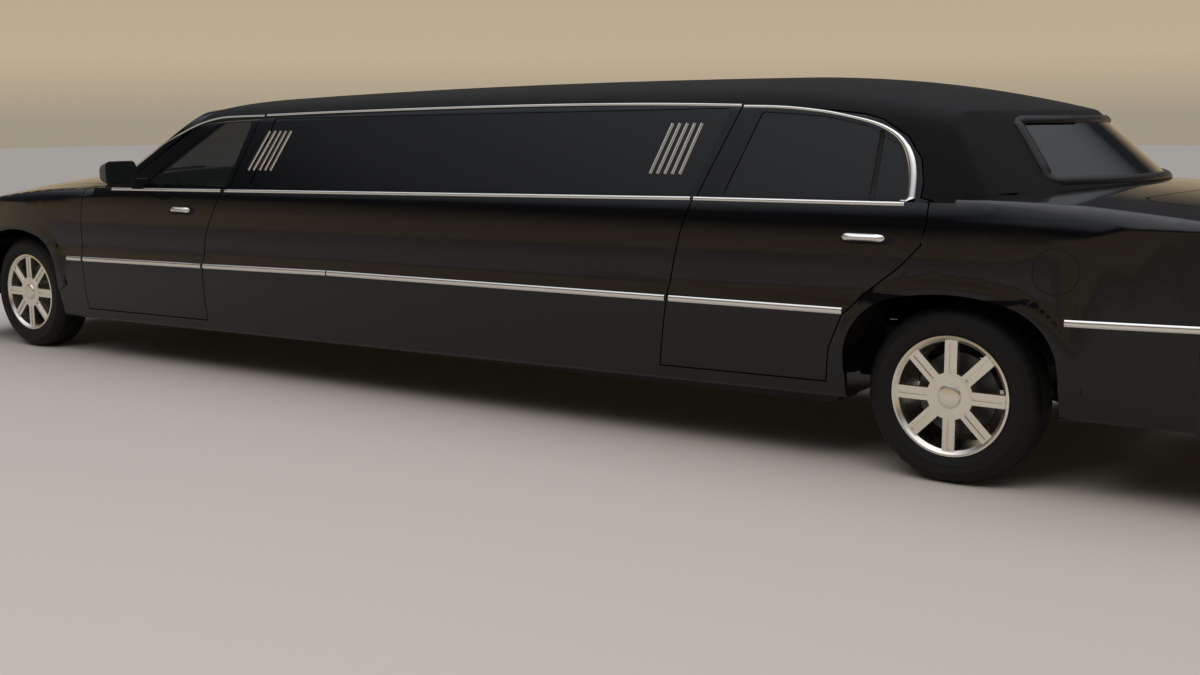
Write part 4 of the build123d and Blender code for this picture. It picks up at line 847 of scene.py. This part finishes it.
SEAT_Y = 0.380
SEAT_HALF_WIDTH = 0.270
HEADREST_HALF_WIDTH = 0.130
FRONT_SEAT_ROWS = (
    # part, rear and front edge ahead of the rear axle, foot, top, half width, channels, crown
    ("cushion", 4.150, 4.640, 0.44, 0.64, SEAT_HALF_WIDTH, 4, 0.06),
    ("back", 4.020, 4.210, 0.58, 1.02, SEAT_HALF_WIDTH, 4, 0.06),
    ("headrest", 4.040, 4.150, 1.00, 1.18, HEADREST_HALF_WIDTH, 0, 0.10),
)
for side, sign in (("left", 1), ("right", -1)):
    for part, rear, front, foot, top, half_width, channels, crown in FRONT_SEAT_ROWS:
        low = (rear, sign * SEAT_Y - half_width, foot)
        high = (front, sign * SEAT_Y + half_width, top)
        piece = cushion(f"front_seat_{side}_{part}", low, high, channels, Y_AXIS, crown)
        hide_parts("front_seats")

REAR_BENCH_ROWS = (
    # part, low and high corner
    ("cushion", (-0.420, -0.585, 0.546), (0.180, 0.585, 0.700)),
    ("back", (-0.555, -0.585, 0.690), (-0.330, 0.585, 1.080)),
)
for part, low, high in REAR_BENCH_ROWS:
    piece = cushion(f"rear_bench_{part}", low, high, channels=9, along=Y_AXIS, crown=0.02)
    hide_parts("rear_bench")

SIDE_BENCH_ROWS = (
    # part, low and high corner
    ("cushion", (1.500, -0.860, 0.345), (3.600, -0.430, 0.680)),
    ("back", (1.500, -0.862, 0.660), (3.600, -0.760, 0.960)),
)
for part, low, high in SIDE_BENCH_ROWS:
    piece = cushion(f"side_bench_{part}", low, high, channels=16, along=X_AXIS, crown=0.0)
    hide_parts("side_bench")

# Floor
FLOOR_REACH = 60
floor_mesh = bpy.data.meshes.new("floor")
floor_corners = [
    (-FLOOR_REACH, -FLOOR_REACH, 0), (FLOOR_REACH, -FLOOR_REACH, 0), (FLOOR_REACH, FLOOR_REACH, 0),
    (-FLOOR_REACH, FLOOR_REACH, 0),
]
floor_mesh.from_pydata(floor_corners, [], [(0, 1, 2, 3)])
floor = bpy.data.objects.new("floor", floor_mesh)
bpy.context.scene.collection.objects.link(floor)
floor_mesh.materials.append(new_material("floor", (0.46, 0.43, 0.39), 0.0, 0.9, specular=0.0))

# World: a warm wall round the horizon with shade above it and a pale sky overhead
WORLD_ROWS = (
    # height of the direction from straight down to straight up, as 0 to 1, and the light's colour
    (0.00, (0.030, 0.026, 0.022)), (0.500, (0.36, 0.31, 0.24)), (0.520, (0.52, 0.42, 0.28)),
    (0.585, (0.46, 0.36, 0.23)), (0.660, (0.040, 0.040, 0.045)), (0.710, (0.045, 0.050, 0.062)),
    (0.830, (0.65, 0.68, 0.74)), (1.00, (1.60, 1.62, 1.68)),
)
world = bpy.data.worlds.new("studio")
bpy.context.scene.world = world
world.use_nodes = True
tree = world.node_tree
background = tree.nodes["Background"]
coords = tree.nodes.new("ShaderNodeTexCoord")
parts = tree.nodes.new("ShaderNodeSeparateXYZ")
lift = tree.nodes.new("ShaderNodeMapRange")
ramp = tree.nodes.new("ShaderNodeValToRGB")
lift.inputs["From Min"].default_value = -1
lift.inputs["From Max"].default_value = 1
stops = ramp.color_ramp.elements
while len(stops) < len(WORLD_ROWS):
    stops.new(0.5)
for stop, (place, color) in zip(stops, WORLD_ROWS):
    stop.position = place
    stop.color = (*color, 1)
tree.links.new(coords.outputs["Generated"], parts.inputs["Vector"])
tree.links.new(parts.outputs["Z"], lift.inputs["Value"])
tree.links.new(lift.outputs["Result"], ramp.inputs["Fac"])
tree.links.new(ramp.outputs["Color"], background.inputs["Color"])
background.inputs["Strength"].default_value = 1.0


def area_light(name, place, target, size, power, color):
    """A soft rectangular lamp that shines on a target and isn't seen in reflections."""
    lamp = bpy.data.lights.new(name, "AREA")
    lamp.shape = "RECTANGLE"
    lamp.size, lamp.size_y = size
    lamp.energy = power
    lamp.color = color
    holder = bpy.data.objects.new(name, lamp)
    holder.location = place
    holder.rotation_euler = (Vector(target) - Vector(place)).to_track_quat("-Z", "Y").to_euler()
    holder.visible_glossy = False
    bpy.context.scene.collection.objects.link(holder)


LIGHT_ROWS = (
    # name, place, target, size, power in watts, colour
    ("key", (-3, 6, 7), (0, 0, 0.6), (9, 3), 270, (1, 0.93, 0.84)),
    ("rim", (2, -6, 5), (0, 0, 1.0), (10, 2), 160, (1, 0.95, 0.9)),
)
for row in LIGHT_ROWS:
    area_light(*row)

# Camera
camera_data = bpy.data.cameras.new("camera")
camera_data.sensor_width = SENSOR_WIDTH
camera_data.lens = FOCAL_PIXELS / IMAGE_WIDTH * SENSOR_WIDTH
camera_data.shift_y = PRINCIPAL_DROP_PIXELS / IMAGE_WIDTH
camera = bpy.data.objects.new("camera", camera_data)
look_x = math.sin(CAMERA_YAW) * math.cos(CAMERA_PITCH)
look_y = -math.cos(CAMERA_YAW) * math.cos(CAMERA_PITCH)
look = Vector((look_x, look_y, math.sin(CAMERA_PITCH)))
level_right = look.cross(Vector((0, 0, 1))).normalized()
level_up = level_right.cross(look)
right = level_right * math.cos(CAMERA_ROLL) + level_up * math.sin(CAMERA_ROLL)
up = level_up * math.cos(CAMERA_ROLL) - level_right * math.sin(CAMERA_ROLL)
camera.matrix_world = Matrix.Translation(CAMERA_PLACE) @ Matrix((right, up, -look)).transposed().to_4x4()
bpy.context.scene.collection.objects.link(camera)
bpy.context.scene.camera = camera
bpy.context.scene.view_settings.view_transform = "Standard"
